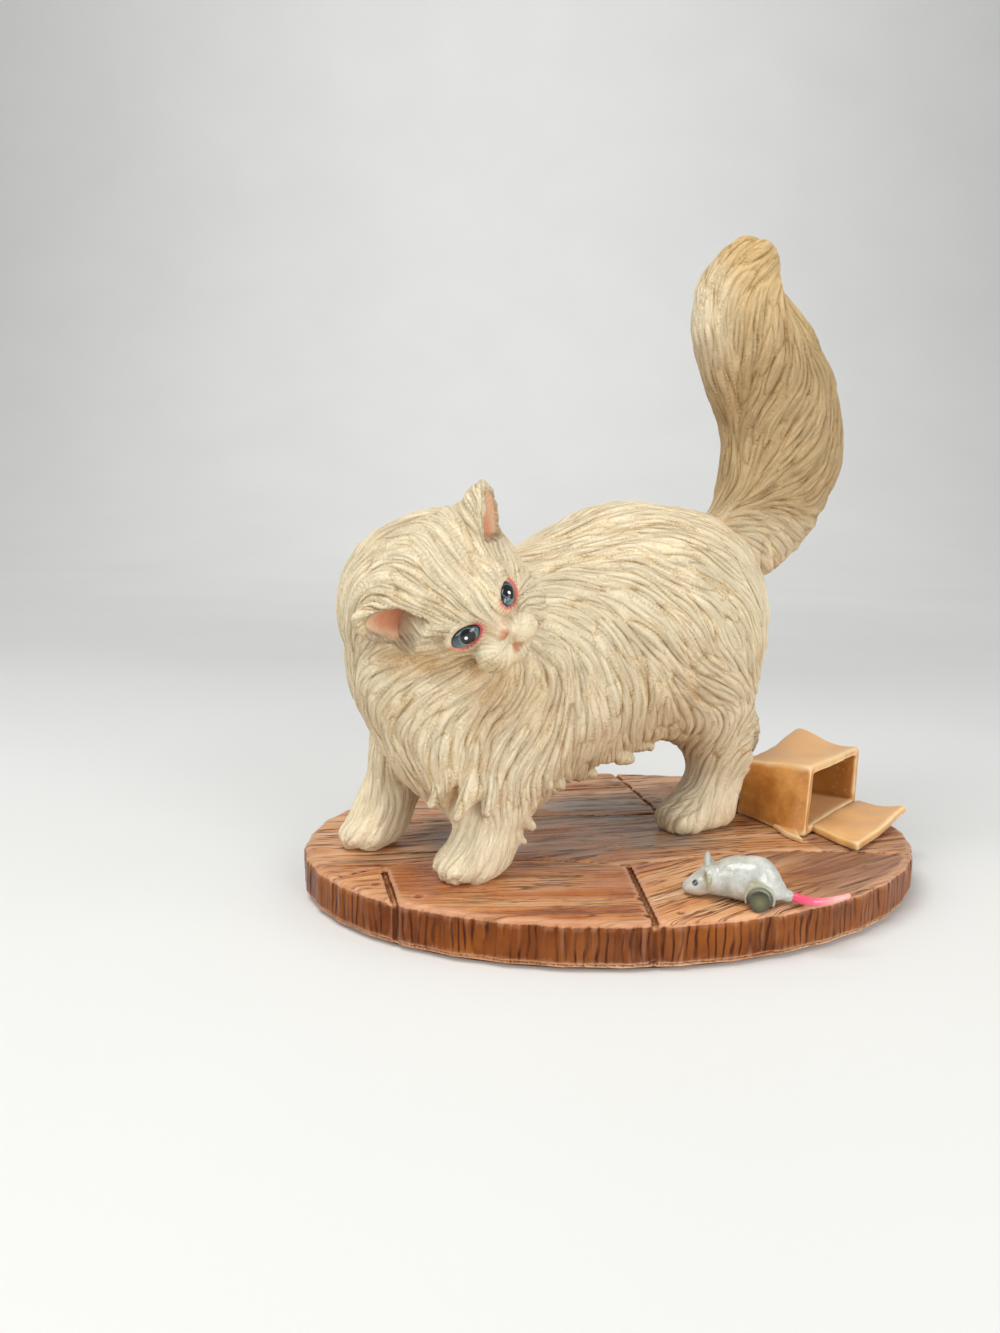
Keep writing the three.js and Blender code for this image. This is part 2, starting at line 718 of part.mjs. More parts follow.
// Pins: steel dowels that stand in the boards and in the paws, and between the castings of the cat.
function dowel(radius, length) {
  return new THREE.CylinderGeometry(radius, radius, length, PIN_SIDES).rotateX(Math.PI / 2);
}

function bore(radius, length) {
  return dowel(radius + PIN_GAP, length + 2 * PIN_GAP);
}

const pawPins = [
  ["near_front", 9.5, -15.3],
  ["far_front", -2.5, 14],
  ["near_hind", 75, -9.8],
  ["far_hind", 98, 10.5],
].map(([label, x, y]) => ({
  label,
  spot: new THREE.Matrix4().makeTranslation(x, y, PAW_PIN_LENGTH / 2 - PAW_PIN_SINK),
}));
const between = (a, b) => {
  const turn = new THREE.Quaternion().setFromUnitVectors(at(0, 0, 1), b.clone().sub(a).normalize());
  return new THREE.Matrix4().makeRotationFromQuaternion(turn).setPosition(a.clone().add(b).divideScalar(2));
};
const neckSpot = between(at(4, -8, 46), at(3, -12, 38));
const tailSpot = between(at(88, 0, 72), at(78, 0, 64));

// The carton lies on its side with its mouth open. It is crushed a little out of square, and its back is
// closed. The near flap lies out on the boards and the side flap sticks out from under it.
function cartonSlice(inset, past) {
  const shape = new THREE.Shape();
  const lean = Math.tan(CARTON_LEAN);
  const corner = (side, y) => {
    const wall = (side * inset) / Math.cos(CARTON_LEAN);
    return [(side > 0 ? 0 : CARTON_WIDTH) + wall - lean * y, y];
  };
  shape.moveTo(...corner(1, -past));
  shape.lineTo(...corner(-1, -past));
  shape.lineTo(...corner(-1, CARTON_DEPTH - inset));
  shape.lineTo(...corner(1, CARTON_DEPTH - inset));
  shape.closePath();
  return shape;
}
const carton = new THREE.Group();
carton.position.set(CARTON_X, CARTON_Y, BOARD_TOP);
carton.rotation.z = CARTON_TURN;
carton.updateMatrix();
root.add(carton);
const cartonBlock = (grow) =>
  new THREE.ExtrudeGeometry(cartonSlice(CARTON_SOFT, -CARTON_SOFT), {
    depth: CARTON_HEIGHT - 2 * CARTON_SOFT,
    bevelThickness: CARTON_SOFT + grow,
    bevelSize: CARTON_SOFT + grow,
    bevelSegments: 2,
  }).translate(0, 0, CARTON_SOFT);
const cartonRoom = new THREE.ExtrudeGeometry(cartonSlice(CARTON_WALL, 5), {
  depth: CARTON_HEIGHT - 2 * CARTON_WALL,
  bevelEnabled: false,
}).translate(0, 0, CARTON_WALL);
const cartonSolid = solidOf(cartonBlock(0)).subtract(solidOf(cartonRoom));

cat.updateMatrix();
const floor = solidOf(new THREE.BoxGeometry(2 * BASE_LENGTH, 2 * BASE_LENGTH, 2 * BASE_THICK).translate(0, 0, -BASE_THICK));
const cartonInCat = cat.matrix.clone().invert().multiply(carton.matrix);
let bodySolid = locks
  .reduce((solid, ridge) => solid.add(ridge), solidOf(bodySkin))
  .subtract(floor)
  .subtract(solidOf(headSeat, headGroup.matrix))
  .subtract(solidOf(tailSeat))
  .subtract(solidOf(cartonBlock(SEAT_GAP), cartonInCat));
let headSolid = solidOf(headSkin).add(ears[0]).add(ears[1]);
let tailSolid = solidOf(tailSkin);
const pins = [];
for (const { label, spot } of pawPins) {
  const hole = bore(PAW_PIN_RADIUS, PAW_PIN_LENGTH);
  bodySolid = bodySolid.subtract(solidOf(hole, spot));
  baseSolid = baseSolid.subtract(solidOf(hole, cat.matrix.clone().multiply(spot)));
  pins.push([`paw_pin_${label}`, PAW_PIN_RADIUS, PAW_PIN_LENGTH, spot]);
}
const neckHole = bore(NECK_PIN_RADIUS, NECK_PIN_LENGTH);
bodySolid = bodySolid.subtract(solidOf(neckHole, neckSpot));
headSolid = headSolid.subtract(solidOf(neckHole, headInverse.clone().multiply(neckSpot)));
pins.push(["neck_pin", NECK_PIN_RADIUS, NECK_PIN_LENGTH, neckSpot]);
const tailHole = bore(TAIL_PIN_RADIUS, TAIL_PIN_LENGTH);
bodySolid = bodySolid.subtract(solidOf(tailHole, tailSpot));
tailSolid = tailSolid.subtract(solidOf(tailHole, tailSpot));
pins.push(["tail_pin", TAIL_PIN_RADIUS, TAIL_PIN_LENGTH, tailSpot]);

// Eyes: domed ovals let into the face, each turned a little outwards and up at its outer corner.
const eyes = mirror((s) => {
  const turn = new THREE.Euler(0, -s * EYE_SLANT, s * EYE_FLARE, "ZYX");
  const spot = new THREE.Matrix4().makeRotationFromEuler(turn).setPosition(s * EYE_SPREAD, -EYE_FRONT, 0);
  const dome = (grow) =>
    new THREE.SphereGeometry(1, 12, 8).scale(
      EYE_HALF_LENGTH + grow,
      EYE_HALF_DEPTH + grow,
      EYE_HALF_HEIGHT + grow,
    );
  headSolid = headSolid.subtract(solidOf(dome(EYE_GAP), spot));
  return [s > 0 ? "eye_left" : "eye_right", solidOf(dome(0), spot)];
});

function flap(outline, thick, soft) {
  const shape = new THREE.Shape(outline.map(([x, y]) => new THREE.Vector2(x, y)));
  return new THREE.ExtrudeGeometry(shape, {
    depth: thick - 2 * soft,
    bevelThickness: soft,
    bevelSize: soft,
    bevelOffset: -soft,
    bevelSegments: 2,
  }).translate(0, 0, soft);
}
const frontFlap = flap(
  [
    [0.5, -SEAT_GAP],
    [-FLAP_SPLAY, -FLAP_LENGTH - SEAT_GAP],
    [CARTON_WIDTH - 0.6 * FLAP_SPLAY, -FLAP_LENGTH * 0.95 - SEAT_GAP],
    [CARTON_WIDTH - 0.5, -SEAT_GAP],
  ],
  FLAP_THICK,
  0.6,
);
const sideFlap = flap([[-1.7, 3], [-10, -3.2], [-8, 2.5], [-3.2, 8]], SIDE_FLAP_THICK, 0.3);

// The toy mouse rolls on two wheels under its haunches, on an axle that runs through its belly.
const mouse = new THREE.Group();
mouse.position.set(MOUSE_X, MOUSE_Y, BOARD_TOP);
mouse.rotation.z = MOUSE_TURN;
root.add(mouse);
const half = MOUSE_LENGTH / 2;
const mouseForm = blend(
  1.2,
  chain([
    [-half + 1, 0, 2.4, 1.1],
    [-half + 5, 0, 3.4, 2.9],
    [-0.5, 0, 4.2, 3.8],
    [3.6, 0, MOUSE_HEIGHT - 4.8, 4.7],
    [half - 1.6, 0, 2, 1.5],
  ]),
  ...mirror((s) => egg(at(-half + 5.4, s * 2.4, 6.6), at(1, 1.7, 1.8))),
  ...mirror((s) => egg(at(WHEEL_ALONG, s * 3.6, 2.8), at(2.5, 1.2, 2.3))),
);
const mouseSkin = skin(mouseForm, () => MOUSE_CELL);
const axleSpot = new THREE.Matrix4().makeRotationX(Math.PI / 2).setPosition(WHEEL_ALONG, 0, WHEEL_RADIUS);
const axleLength = 2 * WHEEL_TRACK;
const tread = new THREE.CylinderGeometry(WHEEL_RADIUS, WHEEL_RADIUS, WHEEL_WIDTH, 24).rotateX(Math.PI / 2);
const wheelAt = (s) => axleSpot.clone().multiply(new THREE.Matrix4().makeTranslation(0, 0, s * WHEEL_TRACK));
const mouseSolid = solidOf(mouseSkin)
  .subtract(floor)
  .subtract(solidOf(bore(AXLE_RADIUS, axleLength), axleSpot));
const mouseTail = new THREE.ExtrudeGeometry(
  new THREE.Shape().absarc(0, 0, MOUSE_TAIL_RADIUS, 0, 2 * Math.PI, false),
  {
    steps: 9,
    curveSegments: 4,
    bevelEnabled: false,
    extrudePath: new THREE.CatmullRomCurve3([
      at(half - 0.1, 0, 1.9),
      at(half + 4, -0.6, 1.4),
      at(half + 8, 1.2, 1.5),
      at(half + 12, 3.4, 2.3),
    ]),
  },
);

add(root, "base_boards", geometryOf(baseSolid), "#8a4a2b", 0.4);
add(root, "felt_sheet", felt, "#2c2a28", 0.95);
add(cat, "cat_body", geometryOf(bodySolid), "#d9c9ab", 0.75);
add(headGroup, "cat_head", geometryOf(headSolid), "#e0d2b6", 0.75);
for (const [name, solid] of eyes) {
  add(headGroup, name, geometryOf(solid), "#5f8296", 0.1);
}
add(cat, "cat_tail", geometryOf(tailSolid), "#cdb88f", 0.75);
for (const [name, radius, length, spot] of pins) {
  const pin = add(cat, name, dowel(radius, length), "#8d8f92", 0.35, 0.9);
  spot.decompose(pin.position, pin.quaternion, pin.scale);
}
add(carton, "carton_box", geometryOf(cartonSolid), "#b07b3d", 0.45);
add(carton, "carton_front_flap", frontFlap, "#c08c4a", 0.45);
add(carton, "carton_side_flap", sideFlap, "#b07b3d", 0.45);
add(mouse, "mouse_body", geometryOf(mouseSolid), "#c9cdcb", 0.35);
add(mouse, "mouse_tail", mouseTail, "#d65a72", 0.35);
const axle = add(mouse, "mouse_axle", dowel(AXLE_RADIUS, axleLength - WHEEL_WIDTH - 2 * PIN_GAP), "#8d8f92", 0.35, 0.9);
axleSpot.decompose(axle.position, axle.quaternion, axle.scale);
for (const [name, s] of [["mouse_wheel_near", 1], ["mouse_wheel_far", -1]]) {
  const wheel = add(mouse, name, tread, "#5d5a33", 0.3);
  wheelAt(s).decompose(wheel.position, wheel.quaternion, wheel.scale);
}

export default root;
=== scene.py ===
import math

import bmesh
import bpy
import numpy as np
from mathutils import Matrix, Vector


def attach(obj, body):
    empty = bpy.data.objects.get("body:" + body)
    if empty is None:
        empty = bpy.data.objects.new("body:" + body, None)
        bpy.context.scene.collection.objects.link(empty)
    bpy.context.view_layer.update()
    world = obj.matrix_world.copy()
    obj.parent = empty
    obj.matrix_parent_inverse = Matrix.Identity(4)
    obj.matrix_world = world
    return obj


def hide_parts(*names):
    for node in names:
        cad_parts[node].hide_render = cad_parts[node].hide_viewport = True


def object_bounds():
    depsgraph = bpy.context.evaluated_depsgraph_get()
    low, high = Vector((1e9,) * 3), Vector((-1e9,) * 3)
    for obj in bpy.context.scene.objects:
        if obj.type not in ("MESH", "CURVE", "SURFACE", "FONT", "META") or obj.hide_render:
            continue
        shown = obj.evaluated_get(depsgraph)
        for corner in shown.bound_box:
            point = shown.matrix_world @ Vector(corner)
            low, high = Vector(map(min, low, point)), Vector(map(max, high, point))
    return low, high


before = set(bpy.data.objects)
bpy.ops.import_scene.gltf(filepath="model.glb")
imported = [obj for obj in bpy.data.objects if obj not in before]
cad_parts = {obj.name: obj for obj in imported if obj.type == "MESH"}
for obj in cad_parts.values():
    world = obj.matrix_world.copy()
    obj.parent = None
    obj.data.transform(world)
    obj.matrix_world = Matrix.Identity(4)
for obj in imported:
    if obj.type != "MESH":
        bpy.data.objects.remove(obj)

# A long-haired cat figurine in painted cast resin, on an oval of floorboards with an open carton and a toy mouse.
# Lengths are in millimetres until a mesh is written, and then in metres.
MM = 0.001
cad_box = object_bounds()

# Camera, light and floor. A phone camera stands a hand's breadth above the cat and a quarter of a metre off. The
# light is that of a white tent, with its brightest panels above and in front.
CAMERA_SPOT = (-85.68, -227.57, 88.84)
CAMERA_HEADING = -0.2405
CAMERA_DIP = math.radians(8.79)
CAMERA_ROLL = math.radians(1.08)
CAMERA_LENS = 27.0
UNDER, OVER = 6, 7  # the colour sockets of a mix


def linear(text):
    """An sRGB hex colour as linear light."""
    parts = [int(text[i : i + 2], 16) / 255 for i in (1, 3, 5)]
    return tuple(c / 12.92 if c <= 0.04045 else ((c + 0.055) / 1.055) ** 2.4 for c in parts) + (1.0,)


def put(kind, links=None, out=0, span=(), stops=None, **settings):
    """Adds a node to the tree in hand and gives one of its outputs. A link is another node's output, a hex colour
    or the socket's value. A span is what a map range goes from and to, and stops are a ramp's places and colours."""
    node = tree.nodes.new("ShaderNode" + kind)
    if kind == "Mix":
        node.data_type, out = "RGBA", 2
    for name, value in settings.items():
        setattr(node, name, value)
    for key, value in {**(links or {}), **dict(enumerate(span, 1))}.items():
        if isinstance(value, bpy.types.NodeSocket):
            tree.links.new(value, node.inputs[key])
        else:
            node.inputs[key].default_value = linear(value) if isinstance(value, str) else value
    if stops:
        marks = node.color_ramp.elements
        while len(marks) < len(stops):
            marks.new(0.5)
        for mark, (place, colour) in zip(marks, stops):
            mark.position = place
            mark.color = linear(colour)
    return node.outputs[out] if len(node.outputs) else node


def start(name):
    """A new material, whose tree is then in hand, and its Object coordinates."""
    global tree
    material = bpy.data.materials.new(name)
    material.use_nodes = True
    tree = material.node_tree
    tree.nodes.clear()
    return material, put("TexCoord", out="Object")


def shine(links):
    """Ends the tree in hand with a shader that has these links."""
    put("OutputMaterial", {"Surface": put("BsdfPrincipled", links)})


def hold(shape, name):
    """An object at the origin that takes its mesh from a bmesh."""
    piece = bpy.data.objects.new(name, bpy.data.meshes.new(name))
    shape.to_mesh(piece.data)
    shape.free()
    bpy.context.collection.objects.link(piece)
    return piece


camera = bpy.data.objects.new("camera", bpy.data.cameras.new("camera"))
bpy.context.collection.objects.link(camera)
camera.data.lens = CAMERA_LENS
camera.data.sensor_width = 36.0
camera.data.clip_start = 0.01
camera.matrix_world = (
    Matrix.Translation(Vector(CAMERA_SPOT) * MM)
    @ Matrix.Rotation(CAMERA_HEADING, 4, "Z")
    @ Matrix.Rotation(math.pi / 2 - CAMERA_DIP, 4, "X")
    @ Matrix.Rotation(CAMERA_ROLL, 4, "Z")
)
bpy.context.scene.camera = camera

# The tent's sheet lies on the table as the floor and sweeps up into the wall a good way behind the figurine.
SHEET_HALF, SHEET_NEAR, SHEET_FAR, SWEEP, WALL_TOP = 4.0, -1.2, 1.0, 1.2, 4.0  # in metres
away = Vector((-math.sin(CAMERA_HEADING), math.cos(CAMERA_HEADING), 0))
aside = away.cross(Vector((0, 0, 1)))
profile = [(SHEET_NEAR, 0.0), (SHEET_FAR, 0.0)]
for k in range(1, 17):
    climb = k * math.pi / 32
    profile.append((SHEET_FAR + SWEEP * math.sin(climb), SWEEP - SWEEP * math.cos(climb)))
profile.append((SHEET_FAR + SWEEP, WALL_TOP))
sheet = bmesh.new()
edge = [sheet.verts.new(away * run - aside * SHEET_HALF + Vector((0, 0, rise))) for run, rise in profile]
strip = [sheet.edges.new(pair) for pair in zip(edge[:-1], edge[1:])]
bmesh.ops.extrude_edge_only(sheet, edges=strip)
bmesh.ops.translate(sheet, verts=[v for v in sheet.verts if v not in edge], vec=aside * 2 * SHEET_HALF)
bmesh.ops.recalc_face_normals(sheet, faces=sheet.faces)
for face in sheet.faces:
    face.smooth = True
floor = hold(sheet, "tent_sheet")
# White cotton, evenly matt, with a faint cloudiness.
cloth, place = start("white_tent_cloth")
cloudy = put("TexNoise", {"Vector": place, "Scale": 6.0})
tint = put("Mix", {0: cloudy, UNDER: "#dcdddb", OVER: "#e4e5e3"})
shine({"Base Color": tint, "Roughness": 0.8})
floor.data.materials.append(cloth)

# Each panel: where it hangs, where it aims, how wide it is and its watts, in metres.
for name, spot, aim, width, power in (
    ("panel_top", (-0.30, -0.10, 0.78), (0, 0, 0.05), 0.50, 4.1),
    ("panel_left", (-0.80, -0.35, 0.40), (0, 0, 0.06), 0.45, 2.1),
    ("panel_front", (0.25, -0.85, 0.30), (0, 0, 0.04), 0.50, 3.5),
    ("panel_right", (0.75, -0.45, 0.35), (0, 0, 0.06), 0.60, 2.1),
    ("panel_wall", (0.10, 0.70, 1.30), (0.5, 2.1, 0.9), 1.20, 14.0),
):
    lamp = bpy.data.objects.new(name, bpy.data.lights.new(name, "AREA"))
    lamp.data.shape = "DISK"
    lamp.data.size = width
    lamp.data.energy = power
    lamp.data.color = (1.0, 0.985, 0.965)
    lamp.location = spot
    lamp.rotation_euler = (Vector(aim) - Vector(spot)).to_track_quat("-Z", "Y").to_euler()
    bpy.context.collection.objects.link(lamp)

world = bpy.context.scene.world or bpy.data.worlds.new("tent")
bpy.context.scene.world = world
world.use_nodes = True
world.node_tree.nodes["Background"].inputs[0].default_value = (0.86, 0.88, 0.90, 1)
world.node_tree.nodes["Background"].inputs[1].default_value = 0.42
bpy.context.scene.view_settings.view_transform = "Standard"


# Base boards: one resin slab that was carved as six old floorboards, with varnished red-brown paint, saw marks
# round its rim and a worn grey band across the middle. The felt under it is a plain glued sheet.
BOARD_TOP = 10.3
BOARD_FOOT = 1.0
BOARD_VOXEL = 0.5
OVAL_HALF = (76, 56.5)
NEAR_SEAM = ((-76, -49, -17, -6, 31, 76), (-20.5, -12, -18.5, -23, -20, -32.5))
FAR_SEAM = ((-76, -20, 25, 76), (15, 17, 12, 16))
CUT_LEFT, CUT_MIDDLE, CUT_FAR = -59.5, -5, 19  # where boards end
# For each board: the slant of its grain in degrees, how it stands above the next one, and how dark it is.
BOARDS = ((4, 0.0, 0.35), (-7, 0.25, 0.5), (22, 0.1, 0.3), (2, 0.0, 0.6), (-3, 0.15, 0.45), (5, 0.0, 0.4))
NAILS = ((-62.1, -24.2), (-54.5, -33.6), (-9.4, -43.4), (-11.3, -52), (-4.4, -51.6))
CRACK_DEPTH, NAIL_DEPTH, SAW_DEPTH = 0.28, 0.45, 0.24


def edges_of(mesh):
    pairs = np.empty(len(mesh.edges) * 2, np.int32)
    mesh.edges.foreach_get("vertices", pairs)
    return pairs.reshape(-1, 2)


def points_of(mesh):
    flat = np.empty(len(mesh.vertices) * 3)
    mesh.vertices.foreach_get("co", flat)
    return flat.reshape(-1, 3) / MM


def normals_of(mesh):
    flat = np.empty(len(mesh.vertices) * 3)
    mesh.vertex_normals.foreach_get("vector", flat)
    return flat.reshape(-1, 3)


def write_points(mesh, points):
    mesh.vertices.foreach_set("co", (points * MM).ravel())
    mesh.update()


def stamp(mesh, **layers):
    """Stores numbers or places for each vertex under the names given, for the paint to read."""
    for name, values in layers.items():
        values = np.asarray(values, np.float32)
        layer = mesh.attributes.new(name, "FLOAT" if values.ndim == 1 else "FLOAT_VECTOR", "POINT")
        layer.data.foreach_set("value" if values.ndim == 1 else "vector", values.ravel())


def eased(values, pairs, rounds, pull=0.5):
    """Values on the vertices, drawn to the mean of their neighbours."""
    rows = values.reshape(len(values), -1).copy()
    share = pull / np.maximum(np.bincount(pairs.ravel(), minlength=len(rows)), 1)
    for _ in range(rounds):
        for k in range(rows.shape[1]):
            total = np.bincount(pairs[:, 0], rows[pairs[:, 1], k], len(rows))
            total += np.bincount(pairs[:, 1], rows[pairs[:, 0], k], len(rows))
            rows[:, k] += share * total - pull * rows[:, k]
    return rows.reshape(values.shape)


def speckle(points, size, seed):
    """Smooth random values from -1 to 1 in space, with cells of the given size."""
    cells = points / size
    whole = np.floor(cells).astype(np.int64)
    part = cells - whole
    part = part * part * (3 - 2 * part)
    total = np.zeros(len(points))
    for corner in range(8):
        shift = np.array([corner & 1, (corner >> 1) & 1, corner >> 2])
        key = whole + shift
        mixed = (key[:, 0] * 73856093) ^ (key[:, 1] * 19349663) ^ (key[:, 2] * 83492791) ^ (seed * 1013904223)
        mixed &= 0xFFFFFFFF
        mixed = ((mixed ^ (mixed >> 15)) * 2246822519) & 0xFFFFFFFF
        mixed = ((mixed ^ (mixed >> 13)) * 3266489917) & 0xFFFFFFFF
        value = ((mixed ^ (mixed >> 16)) & 0xFFFF) / 32767.5 - 1
        total += np.where(shift, part, 1 - part).prod(axis=1) * value
    return total


def ramp(values, low, high):
    """0 at low and 1 at high, with soft ends."""
    t = np.clip((values - low) / (high - low), 0, 1)
    return t * t * (3 - 2 * t)


def clay(name, nodes, voxel, grow=0.0, extra=None):
    """One finer skin round the solids of the given nodes, each grown a little so that they meet. Each node comes
    with how often its facets are smoothed first."""
    shape = extra or bmesh.new()
    for node, facets in nodes.items():
        part = bmesh.new()
        part.from_mesh(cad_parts[node].data)
        bmesh.ops.remove_doubles(part, verts=part.verts, dist=1e-6)
        for _ in range(facets):
            bmesh.ops.smooth_vert(
                part, verts=part.verts, factor=0.3, use_axis_x=True, use_axis_y=True, use_axis_z=True,
            )
        part.normal_update()
        for vert in part.verts:
            vert.co += vert.normal * grow * MM
        copy = bpy.data.meshes.new(node)
        part.to_mesh(copy)
        part.free()
        shape.from_mesh(copy)
        bpy.data.meshes.remove(copy)
    piece = hold(shape, name)
    remesh = piece.modifiers.new("clay", "REMESH")
    remesh.mode = "VOXEL"
    remesh.voxel_size = voxel * MM
    made = bpy.data.meshes.new_from_object(piece.evaluated_get(bpy.context.evaluated_depsgraph_get()))
    piece.modifiers.clear()
    piece.data = made
    made.name = name
    made.materials.clear()
    made.polygons.foreach_set("use_smooth", np.ones(len(made.polygons), bool))
    return piece


def settle(piece, slot, material, *nodes):
    piece.data.materials.append(material)
    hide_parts(*nodes)
    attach(piece, "root")


def flat_copy(name, node, soft=0.0):
    """A copy of a solid with its edges softened."""
    shape = bmesh.new()
    shape.from_mesh(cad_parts[node].data)
    bmesh.ops.remove_doubles(shape, verts=shape.verts, dist=1e-6)
    if soft:
        sharp = [e for e in shape.edges if e.calc_face_angle(0) > 0.6]
        bmesh.ops.bevel(shape, geom=sharp, offset=soft * MM, segments=2, affect="EDGES", profile=0.6)
    for face in shape.faces:
        face.smooth = True
    for edge in shape.edges:
        edge.smooth = edge.calc_face_angle(0) < 0.6
    return hold(shape, name)


boards = clay("floorboards", {"base_boards": 0}, BOARD_VOXEL)
shape = bmesh.new()
shape.from_mesh(boards.data)
cut = bmesh.ops.bisect_plane(
    shape, geom=shape.verts[:] + shape.edges[:] + shape.faces[:], plane_co=(0, 0, (BOARD_FOOT + 0.4) * MM),
    plane_no=(0, 0, -1), clear_outer=True,
)["geom_cut"]
for vert in (v for v in cut if isinstance(v, bmesh.types.BMVert)):
    vert.co.z = BOARD_FOOT * MM
sole = bmesh.ops.edgeloop_fill(shape, edges=[e for e in cut if isinstance(e, bmesh.types.BMEdge)])["faces"]
for face in sole:
    face.smooth = False
    for edge in face.edges:
        edge.smooth = False
shape.to_mesh(boards.data)
shape.free()
points, pairs, normals = points_of(boards.data), edges_of(boards.data), normals_of(boards.data)
x, y, z = points.T
near_side = y < np.interp(x, *NEAR_SEAM)
far_side = y > np.interp(x, *FAR_SEAM)
which = np.select(
    [
        near_side & (x < CUT_LEFT), near_side & (x < CUT_MIDDLE + (y + 24) * 0.196), near_side,
        far_side & (x < CUT_FAR), far_side,
    ],
    [0, 1, 2, 4, 5], 3,
)
slant, level, deep = (np.array(BOARDS)[which].T) * np.array([[math.pi / 180], [1], [1]])
along = x * np.cos(slant) + y * np.sin(slant)
across = y * np.cos(slant) - x * np.sin(slant)
across += 1.6 * speckle(np.column_stack([along / 26, across / 7, which * 5.0]), 1.0, 3)
lie = np.column_stack([along, across, z + which * 40.0])
top = ramp(normals[:, 2], 0.4, 0.9) * ramp(z, BOARD_TOP - 2.5, BOARD_TOP - 0.8)
side = 1 - ramp(np.abs(normals[:, 2]), 0.3, 0.8)
ridges = speckle(lie / (16, 0.9, 6), 1.0, 5) + 0.7 * speckle(lie / (24, 2.4, 6), 1.0, 6)
cracks = ramp(speckle(lie / (20, 1.3, 8), 1.0, 8), 0.35, 0.75)
angle = np.arctan2(y / OVAL_HALF[1], x / OVAL_HALF[0]) * 66  # about millimetres along the rim
saw = speckle(np.column_stack([angle / 1.1, z / 7, angle / 30]), 1.0, 9)
saw = saw + 0.6 * speckle(np.column_stack([angle / 2.6, z / 12, angle / 30]), 1.0, 10)
height = top * (0.13 * ridges - CRACK_DEPTH * cracks + level - 0.12) + side * (SAW_DEPTH * np.minimum(saw, 0.5) - 0.1)
nailed = np.zeros(len(points))
for nail in NAILS:
    gap = np.hypot(x - nail[0], y - nail[1])
    height -= top * NAIL_DEPTH * (1 - ramp(gap, 0.7, 1.1))
    nailed += 1 - ramp(gap, 0.6, 1.0)
height = np.where(z < BOARD_FOOT + 0.3, 0, height)
points += normals * height[:, None]
points[:, 2] = np.clip(points[:, 2], BOARD_FOOT, BOARD_TOP + 0.25)
write_points(boards.data, points)
crest = ((points - eased(points, pairs, 6)) * normals).sum(axis=1)
worn = ramp(x, -52, -40) * (1 - ramp(x, 12, 30)) * ramp(y, -20, -10) * (1 - ramp(y, 26, 36))
pink = np.maximum((which == 2) * ramp(x, 8, 40), 0.6 * ((which == 3) & (x > 45)))
sawn = 0.35 * side * ramp(-saw, 0.3, 0.9)
stamp(
    boards.data, lie=lie * MM, crest=np.clip(crest / 0.10, -1, 1), worn=top * worn, rim=side, pink=top * pink,
    turn=np.column_stack([angle, z * 0.3, angle * 0]) * MM,
    deep=np.clip((deep * 0.5 + 0.5 * cracks + nailed) * top + sawn, 0, 1),
)

# Varnished acrylic in red and orange browns on the resin boards. The raised grain is dry-brushed paler. The grain
# lines stand about 2 mm apart and the saw marks 1 to 2 mm, coarser than in old boards, so that they show.
wood, place = start("varnished_board_paint")
lie, turn = (put("Attribute", out="Vector", attribute_name=name) for name in ("lie", "turn"))
crest, worn, rim, pink, deep = (
    put("Attribute", out="Fac", attribute_name=name) for name in ("crest", "worn", "rim", "pink", "deep")
)
drawn = put("Mapping", {"Vector": lie, "Scale": (0.06, 1, 0.3)})
streak = put("TexNoise", {"Vector": drawn, "Scale": 520.0, "Detail": 3.0, "Roughness": 0.6})
band = put("TexNoise", {"Vector": drawn, "Scale": 170.0, "Detail": 3.0})
patch = put("TexNoise", {"Vector": place, "Scale": 55.0, "Detail": 4.0, "Roughness": 0.6})
tone = put("Math", {0: band, 1: put("Math", {0: patch, 1: 0.6}, operation="MULTIPLY")}, operation="ADD")
base = put("ValToRGB", {0: tone}, stops=[(0.50, "#98552e"), (0.66, "#c67c4a"), (0.82, "#e2a672"), (1.0, "#f2c49a")])
lines = put("Math", {0: put("Math", {0: streak, 1: 0.5}, operation="SUBTRACT")}, operation="ABSOLUTE")
lines = put("MapRange", {0: lines}, span=(0.036, 0.010))
fade = put("MapRange", {0: patch}, span=(0.35, 0.6, 0.4, 0.9))
grained = put("Math", {0: lines, 1: fade}, operation="MULTIPLY")
grained = put("Math", {0: grained, 1: put("Math", {0: 1.0, 1: rim}, operation="SUBTRACT")}, operation="MULTIPLY")
rubbed = put("Math", {0: worn, 1: put("MapRange", {0: patch}, span=(0.35, 0.62))}, operation="MULTIPLY")
base = put("Mix", {0: rubbed, UNDER: base, OVER: "#ad9b8c"})
grey = put("Mix", {0: rubbed, UNDER: "#54240f", OVER: "#48403c"})
base = put("Mix", {0: grained, UNDER: base, OVER: grey})
faded = put("Math", {0: pink, 1: 0.8}, operation="MULTIPLY")
base = put("Mix", {0: faded, UNDER: base, OVER: "#8d6650"})
# The sides are a dark honey brown: the rim's own colour, made darker still as painted shade.
tan = put("Math", {0: rim, 1: 0.95}, operation="MULTIPLY")
pooled = put("MapRange", {0: patch}, span=(0.38, 0.64))
honey = put("Mix", {0: pooled, UNDER: "#622802", OVER: "#8a4708"})
base = put("Mix", {0: tan, UNDER: base, OVER: honey})
saw = put("TexWave", {"Vector": turn, "Scale": 190.0, "Distortion": 9.0, "Detail": 2.0, "Detail Scale": 1.1})
saw = put("MapRange", {0: saw}, span=(0.30, 0.06))
strength = put("TexNoise", {"Vector": turn, "Scale": 330.0, "Detail": 2.0})
strength = put("MapRange", {0: strength}, span=(0.36, 0.58, 0.1, 0.9))
saw = put("Math", {0: saw, 1: strength}, operation="MULTIPLY")
sawn = put("Math", {0: saw, 1: rim}, operation="MULTIPLY")
base = put("Mix", {0: sawn, UNDER: base, OVER: "#3c1606"})
dry = put("MapRange", {0: crest}, span=(0.2, 1.0, 0.0, 0.72))
